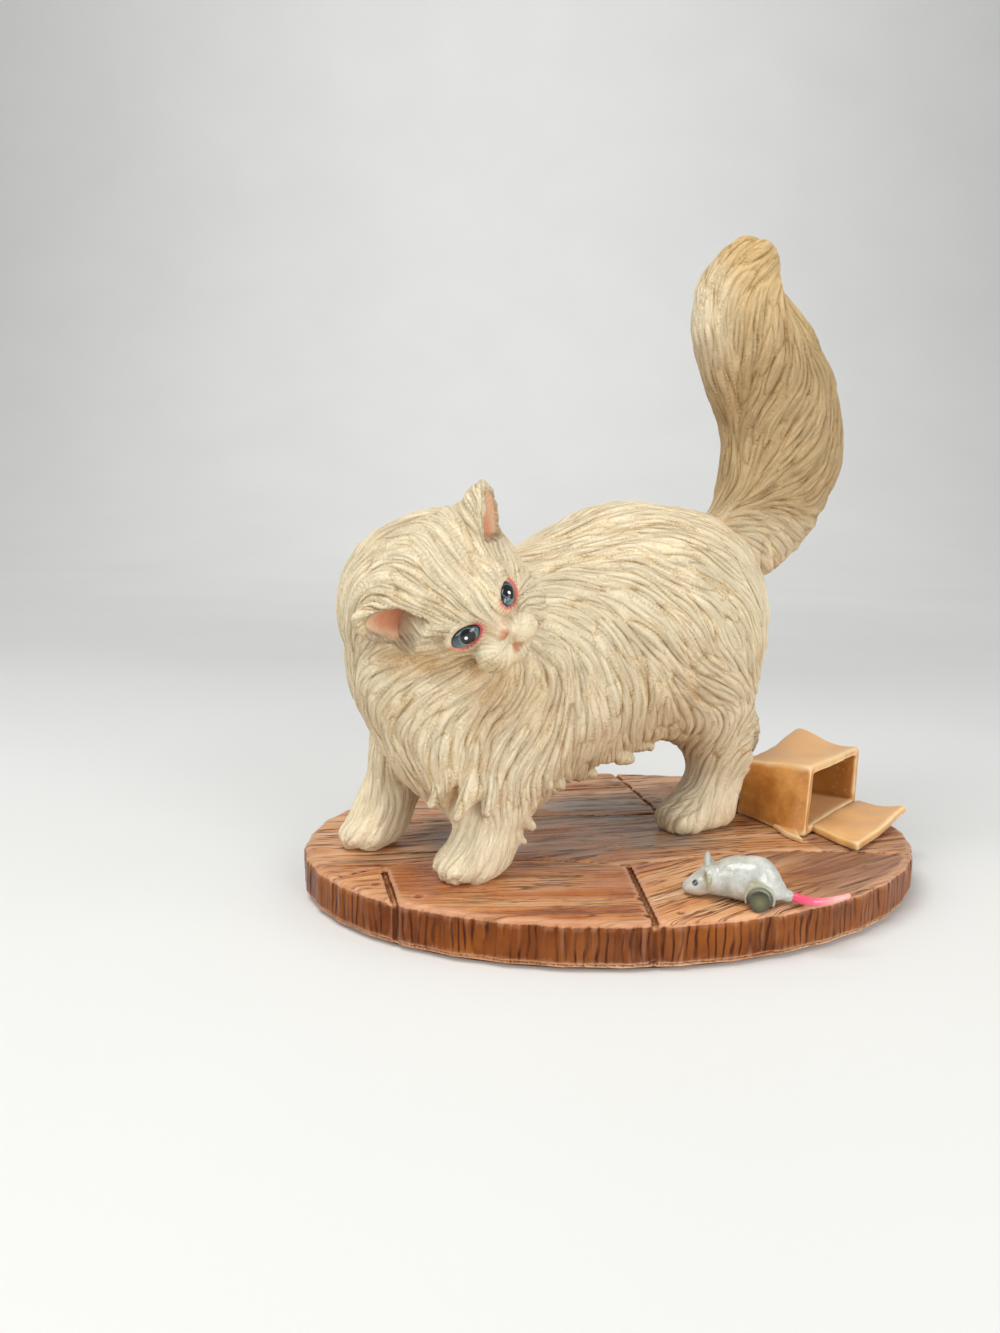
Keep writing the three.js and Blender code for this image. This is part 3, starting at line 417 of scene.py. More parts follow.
spared = put("MapRange", {0: rim}, span=(0.6, 1.0, 1.0, 0.3))
dry = put("Math", {0: dry, 1: spared}, operation="MULTIPLY")
base = put("Mix", {0: dry, UNDER: base, OVER: "#d9a684"})
# Dark brown in the cracks, nail holes and saw marks and on darker boards, with painted shade in every hollow of the
# carving.
sunk = put("MapRange", {0: crest}, span=(-0.15, -0.8, 0.0, 0.8))
sunk = put("Math", {0: sunk, 1: deep}, operation="MAXIMUM")
sunk = put("Math", {0: sunk, 1: 0.75}, operation="MULTIPLY")
base = put("Mix", {0: sunk, UNDER: base, OVER: "#3d1c0e"})
carved = put("Math", {0: put("Math", {0: grained, 1: sawn}, operation="ADD"), 1: -1.0}, operation="MULTIPLY")
shine({
    "Base Color": base, "Roughness": put("MapRange", {0: patch}, span=(0.3, 0.7, 0.22, 0.40)),
    "Specular IOR Level": 0.16, "Normal": put("Bump", {"Height": carved, "Distance": 0.16 * MM, "Strength": 0.8}),
})
settle(boards, "base_boards", wood, "base_boards")

# Pressed felt, dark grey and quite matt, with a nap of about half a millimetre.
felt = flat_copy("felt_under_base", "felt_sheet")
nap, place = start("glued_felt")
fuzz = put("TexNoise", {"Vector": place, "Scale": 1800.0, "Detail": 4.0})
tint = put("Mix", {0: fuzz, UNDER: "#1d1c1b", OVER: "#3b3937"})
shine({"Base Color": tint, "Roughness": 0.95, "Normal": put("Bump", {"Height": fuzz, "Distance": 0.3 * MM})})
settle(felt, "felt_sheet", nap, "felt_sheet")


# Body of the cat: one casting of polyester resin, with long fur that the sculptor combed into the clay. The head
# and the tail are castings of their own, but the fur runs over the joins, so the three are dressed as one skin
# that is combed once and then cut apart. Strokes on the form give the lie of the hair, and noise smeared along
# it gives strands of three sizes with sharp creases between them.
def stand(spot, on=Matrix(), **turns):
    """A place in space or on another, turned by degrees about each axis named, one after the other."""
    place = on @ Matrix.Translation(spot)
    for axis, angle in turns.items():
        place = place @ Matrix.Rotation(math.radians(angle), 4, axis)
    return place


CAT_PLACE = stand((-51.8, -10.3, BOARD_TOP), Z=15)
HEAD_PLACE = stand((4.2, -15.5, 60.3), CAT_PLACE, Z=-11, X=6.3, Y=-45.5)
COAT_VOXEL = 0.42
STROKE_REACH = 6.0  # how far from a stroke the comb still follows it
SMEAR_STEP = 1.0
STRANDS = ((2.5, 0.36, 0.8, 10), (1.3, 0.28, 0.7, 7), (0.75, 0.15, 0.8, 5))  # size, depth, sharpness and length
# Each paw: where it stands, which way it is turned and how long it is.
PAWS = ((8, -15.3, 0.3, 10.5), (-4, 14, 0.15, 9.5), (74.5, -8.6, 0.1, 11.5), (97, 10.5, 0, 11))
TOE_GAPS, TOE_DEPTH = (-3.3, 0.2, 3.6), 0.45
# Strokes of the comb over the head and over the rest of the coat, in the frame of the cat.
HEAD_STROKES = [
    [(2, -32, 60), (-1, -30, 65), (-4, -25, 70), (-8, -19, 73), (-11, -11, 73), (-16, -8, 67), (-18, -5, 62)],
    [(1, -33, 59), (-3, -30, 63), (-8, -25, 66), (-11, -19, 68), (-16, -12, 66), (-19, -7, 60)],
    [(0, -32, 58), (-5, -29, 60), (-9, -24, 61), (-12, -22, 60)],
    [(-4, -26, 53), (-8, -22, 52), (-13, -16, 51), (-16, -8, 48)],
    [(3, -25, 47), (-3, -23, 46), (-9, -19, 46), (-14, -14, 43), (-15, -5, 38)],
    [(3, -33, 60), (1, -31, 66), (2, -26, 71), (1, -24, 75), (-1, -16, 78), (-5, -8, 77)],
    [(4, -31, 65), (6, -26, 71), (3, -26, 75)],
    [(7, -30, 65), (10, -30, 64), (12, -30, 61)],
    [(1, -31, 51), (2, -32, 50), (4, -25, 47)],
    [(6, -32, 59), (8, -34, 58), (9, -34, 55)],
]
COAT_STROKES = [
    [(-4, -12, 78), (-8, -7, 75), (-15, -7, 69), (-18, -5, 62), (-16, -1, 43)],
    [(-16, -1, 43), (-15, -3, 38), (-12, -4, 32), (-10, -9, 28)],
    [(-14, -15, 41), (-14, -10, 36), (-11, -11, 29), (-6, -13, 21)],
    [(-9, -19, 40), (-10, -16, 35), (-8, -16, 29), (-4, -16, 22)],
    [(1, -21, 41), (-3, -21, 35), (-4, -19, 29), (-1, -18, 23)],
    [(9, -21, 42), (6, -21, 36), (4, -20, 30), (3, -19, 24)],
    [(13, -22, 43), (12, -22, 37), (10, -20, 31), (8, -19, 25)],
    [(13, -23, 45), (18, -24, 42), (17, -23, 36), (13, -22, 31), (10, -20, 27)],
    [(16, -23, 49), (21, -24, 45), (22, -24, 39), (18, -23, 34), (13, -22, 29)],
    [(19, -23, 53), (24, -23, 49), (25, -23, 43), (23, -23, 37), (19, -23, 33)],
    [(14, -29, 58), (27, -22, 53), (31, -22, 47), (33, -21, 39)],
    [(14, -30, 61), (27, -19, 58), (34, -21, 52), (38, -22, 44)],
    [(12, -22, 46), (5, -24, 44), (-2, -22, 43), (-8, -20, 42), (-12, -16, 40)],
    [(23, -7, 69), (36, -6, 74), (47, -7, 79)],
    [(23, -10, 67), (36, -10, 72), (50, -13, 77), (62, -14, 76), (71, -15, 73), (78, -19, 66)],
    [(24, -14, 64), (36, -15, 67), (46, -19, 67), (57, -22, 64), (68, -23, 57), (78, -22, 46)],
    [(23, -17, 61), (35, -19, 62), (44, -22, 57), (53, -24, 50), (63, -23, 42), (74, -21, 36), (87, -15, 35)],
    [(21, -20, 58), (31, -20, 56), (38, -22, 50), (44, -22, 43), (47, -22, 35)],
    [(21, -22, 55), (28, -22, 51), (34, -21, 43), (37, -21, 36)],
    [(39, -21, 58), (48, -24, 50), (54, -23, 41), (63, -20, 34), (73, -21, 31)],
    [(73, -18, 69), (80, -20, 61), (81, -21, 52), (81, -21, 44)],
    [(26, -23, 42), (26, -22, 34), (29, -21, 27), (32, -17, 22)],
    [(40, -22, 41), (39, -22, 35), (40, -20, 28)],
    [(47, -22, 40), (47, -22, 35), (49, -19, 30)],
    [(51, -23, 40), (54, -20, 33), (60, -16, 27)],
    [(88, -14, 30), (74, -20, 28), (69, -16, 23), (71, -10, 16)],
    [(104, 3, 19), (77, -18, 22), (75, -16, 16), (74, -16, 10)],
    [(64, -19, 33), (68, -18, 28), (69, -15, 22), (70, -11, 17)],
    [(22, -24, 37), (18, -23, 31), (15, -23, 25)],
    [(71, -14, 18), (71, -12, 12), (68, -10, 8)],
    [(84, -1, 83), (87, 1, 93), (83, -1, 105), (77, 0, 116), (75, 2, 126), (75, -1, 135)],
    [(85, -3, 83), (87, -2, 93), (86, -2, 101), (85, -7, 110), (88, -9, 121), (96, -6, 133)],
    [(88, -6, 83), (96, -9, 89), (105, -10, 96), (113, -9, 105)],
    [(88, -4, 94), (95, -9, 103), (101, -10, 111), (101, -9, 120), (96, -8, 127)],
    [(110, -10, 89), (115, -9, 101), (114, -8, 112), (108, -7, 121), (98, -8, 127)],
    [(84, -3, 80), (91, -7, 78), (100, -8, 75), (107, -6, 73)],
    [(81, -3, 109), (77, -3, 119), (76, -3, 127), (79, -5, 135), (88, -5, 141), (98, -3, 145)],
    [(90, -7, 75), (98, -6, 70), (101, -4, 65)],
    [(-5, 13, 23), (-7, 12, 16), (-9, 12, 9), (-13, 9, 3)],
    [(-9, -7, 25), (-2, 7, 14), (-4, 7, 7), (-8, 5, 3)],
    [(5, 9, 11), (2, 8, 7), (0, 7, 5)],
    [(8, -19, 17), (6, -18, 12), (2, -18, 7), (-1, -20, 3)],
    [(10, -21, 20), (9, -21, 14), (7, -22, 8), (3, -22, 2)],
    [(13, -22, 20), (16, -22, 15), (22, -14, 9)],
    [(12, -22, 15), (13, -21, 10), (12, -22, 6)],
    [(-4, -18, 25), (-2, -16, 20), (2, -14, 15)],
]


def placed(matrix, points):
    """Rows of points carried by a matrix."""
    return np.asarray(points, float) @ np.array(matrix.to_3x3()).T + np.array(matrix.translation)


def comb_marks():
    """Middles and directions of short pieces of every stroke, on both sides of the cat."""
    flip_body = CAT_PLACE @ Matrix.Diagonal((1, -1, 1, 1))
    into_head = HEAD_PLACE.inverted() @ CAT_PLACE
    marks = []
    for strokes, on_head in ((HEAD_STROKES, True), (COAT_STROKES, False)):
        for stroke in strokes:
            for twin in (False, True):
                if not twin:
                    line = placed(CAT_PLACE, stroke)
                elif on_head:
                    line = placed(HEAD_PLACE, placed(into_head, stroke) * (-1, 1, 1))
                else:
                    line = placed(flip_body, stroke)
                for a, b in zip(line[:-1], line[1:]):
                    length = np.linalg.norm(b - a)
                    parts = max(1, round(length / 4))
                    for i in range(parts):
                        weight = 0.35 if twin and on_head else 1.0
                        marks.append((*(a + (b - a) * (i + 0.5) / parts), *((b - a) / length * weight)))
    return np.array(marks)


def lie_of_hair(points, normals):
    """The direction that the hair lies in at each point of a skin."""
    marks = comb_marks()
    flow = np.empty_like(points)
    for start_row in range(0, len(points), 8000):
        here = points[start_row : start_row + 8000]
        apart = (here**2).sum(axis=1)[:, None] + (marks[:, :3] ** 2).sum(axis=1) - 2 * here @ marks[:, :3].T
        weight = np.exp(-apart / (2 * STROKE_REACH**2)) + 2e-4 / (1 + apart / 400) ** 2
        flow[start_row : start_row + 8000] = weight @ marks[:, 3:]
    flow /= np.linalg.norm(flow, axis=1, keepdims=True) + 1e-9
    for axis in range(3):
        flow[:, axis] += 0.30 * speckle(points, 9.0, 11 + axis) + 0.12 * speckle(points, 4.0, 14 + axis)
    flow -= normals * (flow * normals).sum(axis=1, keepdims=True)
    return flow / (np.linalg.norm(flow, axis=1, keepdims=True) + 1e-9)


def skin_finder(points, cell):
    """A lookup from a place near the skin to its nearest vertex, by a table of small cubes."""
    least = points.min(axis=0) - 4 * cell
    size = np.ceil((points.max(axis=0) - least) / cell).astype(int) + 5
    table = np.full(size, -1, np.int32)
    where = ((points - least) / cell).astype(int)
    table[where[:, 0], where[:, 1], where[:, 2]] = np.arange(len(points))
    for _ in range(2):
        for axis in range(3):
            for shift in (1, -1):
                moved = np.roll(table, shift, axis)
                table = np.where(table < 0, moved, table)

    def find(places, last):
        spot = np.clip(((places - least) / cell).astype(int), 0, size - 1)
        found = table[spot[:, 0], spot[:, 1], spot[:, 2]]
        return np.where(found < 0, last, found)

    return find


def smeared(points, normals, flow, find):
    """Noise of each strand size, averaged along the hair up and down stream from every vertex."""
    total = [speckle(points, size, 31 + n) for n, (size, _, _, _) in enumerate(STRANDS)]
    for way in (1, -1):
        spot = points.copy()
        here = np.arange(len(points))
        for k in range(1, STRANDS[0][3] + 1):
            spot = spot + way * SMEAR_STEP * flow[here]
            here = find(spot, here)
            spot -= normals[here] * ((spot - points[here]) * normals[here]).sum(axis=1, keepdims=True)
            for n, (size, _, _, length) in enumerate(STRANDS):
                if k <= length:
                    total[n] += (0.5 + 0.5 * math.cos(math.pi * k / (length + 1))) * speckle(spot, size, 31 + n)
    return [t / t.std() for t in total]


def off(points, spot):
    """How far each point is from a spot."""
    return np.linalg.norm(points - np.asarray(spot), axis=1)


def near(points, spot, radius, power=2.0):
    """1 at a spot and 0 beyond the radius."""
    return np.clip(1 - off(points, spot) / radius, 0, 1) ** power


def egg(points, centre, radii):
    """About the distance from an ellipsoid, negative inside."""
    scaled = (points - np.array(centre)) / radii
    whole = np.linalg.norm(scaled, axis=1) + 1e-9
    return whole * (whole - 1) / (np.linalg.norm(scaled / radii, axis=1) + 1e-9)


def bar(points, a, radius_a, b, radius_b):
    """The distance from a rod with round ends of two sizes."""
    a, b = np.array(a, float), np.array(b, float)
    t = np.clip((points - a) @ (b - a) / ((b - a) @ (b - a)), 0, 1)
    return np.linalg.norm(points - a - t[:, None] * (b - a), axis=1) - (radius_a + (radius_b - radius_a) * t)


def melt(width, *fields):
    """Forms joined with a fillet of the given width."""
    total = fields[0]
    for field in fields[1:]:
        gap = np.maximum(width - np.abs(total - field), 0) / width
        total = np.minimum(total, field) - gap * gap * width / 4
    return total


def shaped(mesh, field, mask, rounds):
    """Draws the masked vertices to the zero level of a field given in the frame of the head."""
    for _ in range(rounds):
        points = points_of(mesh)
        away = field(placed(HEAD_PLACE.inverted(), points[mask > 0]))
        step = np.zeros(len(points))
        step[mask > 0] = np.clip(away, -0.8, 0.8) * mask[mask > 0]
        write_points(mesh, points - normals_of(mesh) * step[:, None])


# The face: skull, cheeks, brows, a sharp bridge between the eyes, two round pads, a chin and a small nose. Each
# eye lies in a ring of lid. The far eye is turned well outward, beyond the bridge.
MUZZLE = (0, -15.5, -3)
EYE_HALF = np.array((3.6, 2.2, 2.2))
LID_HALF = np.array((3.35, 2.0))  # the opening between the lids
EYES = [stand((5.3, -14.6, 0), Z=50, Y=-10), stand((-5.3, -14.6, 0), Z=-10, Y=6)]
# Each ear: its root, the way up and the way back. It is a thin leaf with a thicker furred back.
EARS = []
for spot, up, back in (
    ((10.6, -3.8, 6.5), (0.62, -0.08, 0.78), (-0.66, 0.6, 0.35)),
    ((-10.6, -3.6, 6.6), (-0.60, -0.33, 0.72), (0.39, 0.9, 0.06)),
):
    up = Vector(up).normalized()
    back = (Vector(back) - up * Vector(back).dot(up)).normalized()
    EARS.append(Matrix.Translation(spot) @ Matrix((back.cross(up), back, up)).transposed().to_4x4())
EAR_EGGS = (((0, 0, 0), (5.4, 2.8, 13.2)), ((0, 1.6, 0), (5.0, 3.6, 12.0)), ((0, 2.9, 0), (4.6, 4.6, 9.6)))
CUP_HALF = (4.3, 11.2)
TEMPLE, TEMPLE_RADIUS = (-12.0, -4.6, -0.4), 3.6  # fills the hollow in front of the near ear


def cup_of(local):
    """How deep the cup of an ear goes at each place, and whether the place lies within its edge."""
    inside = 1 - (local[:, 0] / CUP_HALF[0]) ** 2 - ((local[:, 2] - 0.3) / CUP_HALF[1]) ** 2
    return -2.4 + 3.6 * np.sqrt(np.clip(inside, 0, 1)), inside


def lid_of(eye, points):
    """1 on the edge of the opening of an eye, less within, and large behind the face."""
    local = placed(eye.inverted(), points)
    return np.linalg.norm(local[:, (0, 2)] / LID_HALF, axis=1) + 9 * (local[:, 1] > 2.5)


def face_form(points):
    skull, jaw = egg(points, (-0.2, 1, 2.5), (14.4, 15, 15)), egg(points, (0, -6.2, -1.5), (10.5, 10, 10.5))
    cheeks = egg(points, (6.5, -5, -6), (6.5, 8.5, 7)), egg(points, (-9.5, -2.5, -8), (8.5, 8.5, 8.5))
    face = melt(3.0, skull, jaw, *cheeks)
    face = melt(2.2, face, bar(points, (0.2, -14.2, 4.5), 2.6, (0, -17.0, -3.4), 1.5))
    for s, eye in zip((1, -1), EYES):
        face = melt(1.8, face, bar(points, (s * 2.6, -15.2, 2.4), 1.5, (s * 8.0, -12.6, 3.6), 1.3))
        local = placed(eye.inverted(), points)
        face = melt(1.2, face, egg(local, (0, 0.6, 0), EYE_HALF + (0.7, 0.05, 0.6)))
        edge = (np.linalg.norm(local[:, (0, 2)] / (LID_HALF + 0.35), axis=1) - 1) * 2.6
        depth = local[:, 1] + 2.3 * np.sqrt(np.clip(1 - (local[:, 0] / 4.4) ** 2, 0.05, 1)) - 0.9
        face = melt(0.5, face, np.hypot(edge, depth) - 0.42)
    face = melt(1.4, face, egg(points, (0, -14.4, -10.2), (3.0, 2.3, 2.0)))
    pads = egg(points, (3.2, -15.3, -6.7), (3.6, 3.4, 3.1)), egg(points, (-3.5, -15.2, -7.2), (4.3, 3.5, 3.6))
    face = melt(1.6, face, melt(0.3, *pads))
    face = melt(0.5, face, egg(points, (0, -18.2, -4.0), (1.35, 0.95, 0.95)))
    mouth = bar(points, (0, -19.0, -5.2), 0.3, (0.1, -18.6, -8.6), 0.45)
    face = np.maximum(face - 0.15, -mouth)
    for eye in EYES:
        local = placed(eye.inverted(), points)
        face = np.maximum(face, -egg(local, (0, -2.2, 0), (LID_HALF[0], 4.0, LID_HALF[1])))
        face = np.minimum(face, egg(local, (0, 0, 0), EYE_HALF - 0.35))
    return face


# Pointed locks hang from the edge of the coat: along the belly, at the tip of the ruff and down the backs of the
# legs. Each is a thin cone from a root in the body to a tip, in the frame of the cat.
HEM_START, HEM_END, HEM_STEP, HEM_RADIUS = 24, 64, 5, 3.3
body = placed(CAT_PLACE.inverted(), points_of(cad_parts["cat_body"].data))
LOCKS = [
    ((5, -20, 22), (0, -20.5, 14.5), 3.0), ((0, -18, 24), (-4, -17, 17), 2.6),
    ((9, -20.5, 22), (7, -21.5, 15), 2.4), ((15, -19, 20), (20, -20.5, 14.5), 2.6),
    ((15, -19, 15), (20, -20, 10), 2.3), ((14, -18, 11), (18.5, -19, 6.5), 2.0),
    ((17, -19, 25), (23.5, -20.5, 19), 2.8), ((83, -11, 22), (88, -12, 15), 2.4),
    ((82, -10, 15), (86, -11, 9), 2.2), ((81, -10, 9), (84.5, -11, 4), 2.0),
    ((0, 14, 16), (5, 15, 10), 2.2), ((101, 12, 20), (106, 13, 13), 2.2),
]
for station in range(HEM_START, HEM_END, HEM_STEP):
    for s in (-1, 1):
        strip = body[(np.abs(body[:, 0] - station) < 3) & (s * body[:, 1] > 5) & (body[:, 2] > 16)]
        if len(strip):
            hem_x, hem_y, hem_z = strip[strip[:, 2].argmin()]
            sway = 0.9 * math.sin(station * 1.7 + s)
            LOCKS.append(((hem_x - 3, hem_y, hem_z + 3.3), (hem_x + 4.5 + sway, hem_y, hem_z + 0.4), HEM_RADIUS))


def solid_lock(shape, root, tip, radius):
    """A round root and a cone that runs out to the tip, in world metres."""
    root, tip = (CAT_PLACE @ Vector(spot) * MM for spot in (root, tip))
    way = tip - root
    turn = way.to_track_quat("Z", "Y").to_matrix().to_4x4()
    bmesh.ops.create_uvsphere(
        shape, u_segments=16, v_segments=12, radius=radius * MM, matrix=Matrix.Translation(root),
    )
    bmesh.ops.create_cone(
        shape, cap_ends=True, segments=16, radius1=radius * 0.97 * MM, radius2=0.32 * radius * MM,
        depth=way.length, matrix=Matrix.Translation(root + way / 2) @ turn,
    )


extra = bmesh.new()
for root, tip, radius in LOCKS:
    solid_lock(extra, root, tip, radius)
bmesh.ops.create_uvsphere(
    extra, u_segments=24, v_segments=16, radius=TEMPLE_RADIUS * MM,
    matrix=Matrix.Translation(HEAD_PLACE @ Vector(TEMPLE) * MM),
)
for ear in EARS:
    for centre, radii in EAR_EGGS:
        spot = HEAD_PLACE @ ear @ Matrix.Translation(centre) @ Matrix.Diagonal((*radii, 1))
        bmesh.ops.create_uvsphere(extra, u_segments=32, v_segments=20, radius=1, matrix=Matrix.Scale(MM, 4) @ spot)
coat = clay(
    "coat", {"cat_body": 2, "cat_head": 0, "cat_tail": 2, "neck_pin": 0, "tail_pin": 0}, COAT_VOXEL, 0.35, extra,
)

# The front of the head is cut finer, for the face.
in_head = placed(HEAD_PLACE.inverted(), points_of(coat.data))
shape = bmesh.new()
shape.from_mesh(coat.data)
shape.verts.ensure_lookup_table()
front = (in_head[:, 1] < 1.5) & (np.abs(in_head[:, 0]) < 21) & (in_head[:, 2] > -13.5) & (in_head[:, 2] < 19)
front &= off(in_head, (0, -2, 1)) < 23
fine = [e for e in shape.edges if front[e.verts[0].index] and front[e.verts[1].index]]
bmesh.ops.subdivide_edges(shape, edges=fine, cuts=1, use_grid_fill=True)
shape.to_mesh(coat.data)
shape.free()

# The skin is eased where it is plain, and kept crisp on the ears and the tips of the locks.
pairs = edges_of(coat.data)
crisp = eased(points_of(coat.data), pairs, 4)
soft = eased(crisp, pairs, 24)
smooth = eased(soft, pairs, 60)
in_head = placed(HEAD_PLACE.inverted(), soft)
ears = np.maximum(near(in_head, (13, -3, 11), 11, 0.5), near(in_head, (-15, -4, 9), 11, 0.5))
ears = np.clip(ears * 2.4, 0, 1) * ramp(np.abs(in_head[:, 0]), 7, 10)
low = 1 - ramp(soft[:, 2], BOARD_TOP + 8, BOARD_TOP + 20)
cavity = np.clip(((smooth - soft) * normals_of(coat.data)).sum(axis=1) / 0.5, 0, 1)
points = smooth * (1 - low[:, None]) + soft * low[:, None]
reach = np.full(len(points), 99.0)
for tip in placed(CAT_PLACE, [tip for _, tip, _ in LOCKS]):
    reach = np.minimum(reach, off(crisp, tip))
sharp = np.maximum(ears, 1 - ramp(reach, 4, 8))
points = points * (1 - sharp[:, None]) + crisp * sharp[:, None]
write_points(coat.data, points)

# The face is drawn to its form, and the cups are pressed into the ears.
in_head = placed(HEAD_PLACE.inverted(), points)
from_muzzle = off(in_head, MUZZLE)
face = (1 - ramp(from_muzzle, 9.5, 15.5)) * (1 - ears)
face *= 1 - ramp(np.abs(in_head[:, 0]), 8.5, 12.5)
shaped(coat.data, face_form, face, 5)
write_points(coat.data, eased(points_of(coat.data), pairs, 2))
shaped(coat.data, face_form, face * (1 - ramp(from_muzzle, 9, 11)), 8)
points = points_of(coat.data)
for ear in EARS:
    local = placed((HEAD_PLACE @ ear).inverted(), points)
    cup, inside = cup_of(local)
    pressed = (inside > 0) & (local[:, 2] > 1.4) & (local[:, 1] > -8) & (local[:, 1] < cup)
    local[pressed, 1] = cup[pressed]
    points[pressed] = placed(HEAD_PLACE @ ear, local)[pressed]
write_points(coat.data, points)
points = eased(points, pairs, 2)
write_points(coat.data, points)

# The comb: strands of each size, weaker round the face and in the ears, with a fold under the cheek and toes.
normals = eased(normals_of(coat.data), pairs, 4)
normals /= np.linalg.norm(normals, axis=1, keepdims=True)
flow = lie_of_hair(points, normals)
layers = smeared(points, normals, flow, skin_finder(points, COAT_VOXEL * 1.2))
in_head = placed(HEAD_PLACE.inverted(), points)
on_head = ramp(-np.linalg.norm(in_head, axis=1), -24, -17)
shares = (1 - 0.55 * on_head, 1 - 0.15 * on_head, 1 + 0.5 * on_head)
height = np.zeros(len(points))
for layer, share, (_, depth, sharp, _) in zip(layers, shares, STRANDS):
    height += share * depth * (np.minimum(np.sqrt(layer**2 + 0.03), 1.6) ** sharp - 0.75)
height *= 1 + 0.35 * speckle(points, 3.0, 55)
height += on_head * 0.16 * speckle(points, 1.6, 56)
lidded = np.minimum(lid_of(EYES[0], in_head), lid_of(EYES[1], in_head))
muzzle = np.clip(near(in_head, (0, -18, -5.5), 6.5, 0.7) * 1.6, 0, 1)
in_cup, within = np.zeros((2, len(points)))
for ear in EARS:
    local = placed(ear.inverted(), in_head)
    cup, inside = cup_of(local)
    in_cup = np.maximum(in_cup, (inside > 0.08) & (local[:, 2] > 1.6) & (np.abs(local[:, 1] - cup) < 0.9))
    within = np.maximum(within, ramp(inside, 0.1, 0.75))
in_cup = eased(in_cup, pairs, 3)
furry = (1 - 0.55 * muzzle) * (1 - 0.8 * in_cup) * (1 - 0.3 * low) * ramp(lidded, 1.05, 1.5)
fold = 1 - ramp(bar(in_head, (-21, -6, 5), 0, (-5, -12, -10), 0), 1, 5)
height = height * furry - 0.5 * fold
in_cat = placed(CAT_PLACE.inverted(), points)
for spot_x, spot_y, turn, long in PAWS:
    reach = -((in_cat[:, 0] - spot_x) * math.cos(turn) + (in_cat[:, 1] - spot_y) * math.sin(turn))
    aside = (in_cat[:, 1] - spot_y) * math.cos(turn) - (in_cat[:, 0] - spot_x) * math.sin(turn)
    toes = ramp(reach, 0.3 * long, 0.55 * long) * (1 - ramp(in_cat[:, 2], 7, 10)) * (np.abs(aside) < 8)
    for gap in TOE_GAPS:
        height -= TOE_DEPTH * toes * np.exp(-(((aside - gap) / 0.55) ** 2))
points += normals * height[:, None]
points[:, 2] = np.clip(points[:, 2], BOARD_TOP, cad_box[1][2] / MM - 0.05)
write_points(coat.data, points)
top = sum(strand[1] for strand in STRANDS)
# Darker tan in the creases between strands: partly the wash, partly painted shade.
hollow = np.clip(0.5 - (height - eased(height, pairs, 8)) / (0.7 * top), 0, 1)
tail = ramp(in_cat[:, 0], 72, 84) * ramp(points[:, 2], 78, 96)
# Painted shade where the coat faces down, in broad hollows, under the jaw and in the fold below the cheek.
jaw = near(in_head, (-5, -8, -17), 12, 0.7)
shelter = (0.5 * np.clip(-normals[:, 2], 0, 1) + 0.6 * cavity) * (1 - 0.9 * low)

# The painted places: pink in the ears, crimson to pink at the inner corner and the lower lid of each eye, and
# orange-pink on the nose and lip.
rims = np.zeros(len(points))
for s, eye in zip((1, -1), EYES):
    local = placed(eye.inverted(), in_head)
    around = lid_of(eye, in_head)
    side = ramp(np.maximum(-s * local[:, 0], 0.3 * (1 + s) * local[:, 0]) - 1.5 * local[:, 2], -1.2, 1.6)
    hatch = ramp(np.sin(26 * np.arctan2(local[:, 2] / LID_HALF[1], local[:, 0] / LID_HALF[0])), -0.4, 0.7)
    band = 0.8 * ramp(around, 0.9, 1.0) * (1 - ramp(around, 1.06, 1.18))
    band += (0.18 + 0.34 * hatch) * ramp(around, 1.0, 1.1) * (1 - ramp(around, 1.22, 1.46))
    rims = np.maximum(rims, side * np.clip(band, 0, 0.85))
lip = np.maximum(near(in_head, (0.2, -17.8, -8.6), 1.5, 0.5), near(in_head, (0, -18.9, -4.2), 1.35, 0.5)) * 0.60
bridge = 0.18 * near(in_head, (0.6, -17.5, -2.2), 3.2, 1)
stamp(
    coat.data, hollow=hollow * (1 - 0.5 * in_cup) * (1 - 0.25 * on_head) * (1 - 0.6 * low),
    warmth=np.clip(shelter + 0.3 * jaw + 0.45 * fold, 0, 1), tail=tail * (0.8 + 0.2 * ramp(points[:, 2], 128, 152)),
    tip=tail * ramp(points[:, 2], 125, 150), comb=np.column_stack(layers), furry=furry,
    rose=np.clip(np.maximum.reduce([in_cup * (0.22 + 0.28 * within), rims, lip, bridge]), 0, 1),
)

# Cast resin under acrylic paint: cream on the raised hair, a tan wash that was wiped off and stayed in the
# creases, deepened there as painted shade, more painted shade under the body, in broad hollows, under the jaw and
# in the fold below the cheek, and a matt sealer, so the surface is dull with a faint broad sheen.
coat_paint, place = start("cream_acrylic_on_resin")
hollow, warmth, rose, furry, tail, tip = (
    put("Attribute", out="Fac", attribute_name=name) for name in ("hollow", "warmth", "rose", "furry", "tail", "tip")
)
comb = put("Attribute", out="Vector", attribute_name="comb")
strands = put("SeparateXYZ", {0: put("VectorMath", {0: comb}, operation="ABSOLUTE")}).node.outputs
hairs = put("TexNoise", {"Vector": comb, "Scale": 3.2, "Detail": 2.0, "Roughness": 0.6})
patch = put("TexNoise", {"Vector": place, "Scale": 70.0, "Detail": 3.0})
speck = put("TexNoise", {"Vector": place, "Scale": 900.0})
wash = put("MapRange", {0: patch}, span=(0.3, 0.7, -0.12, 0.12))
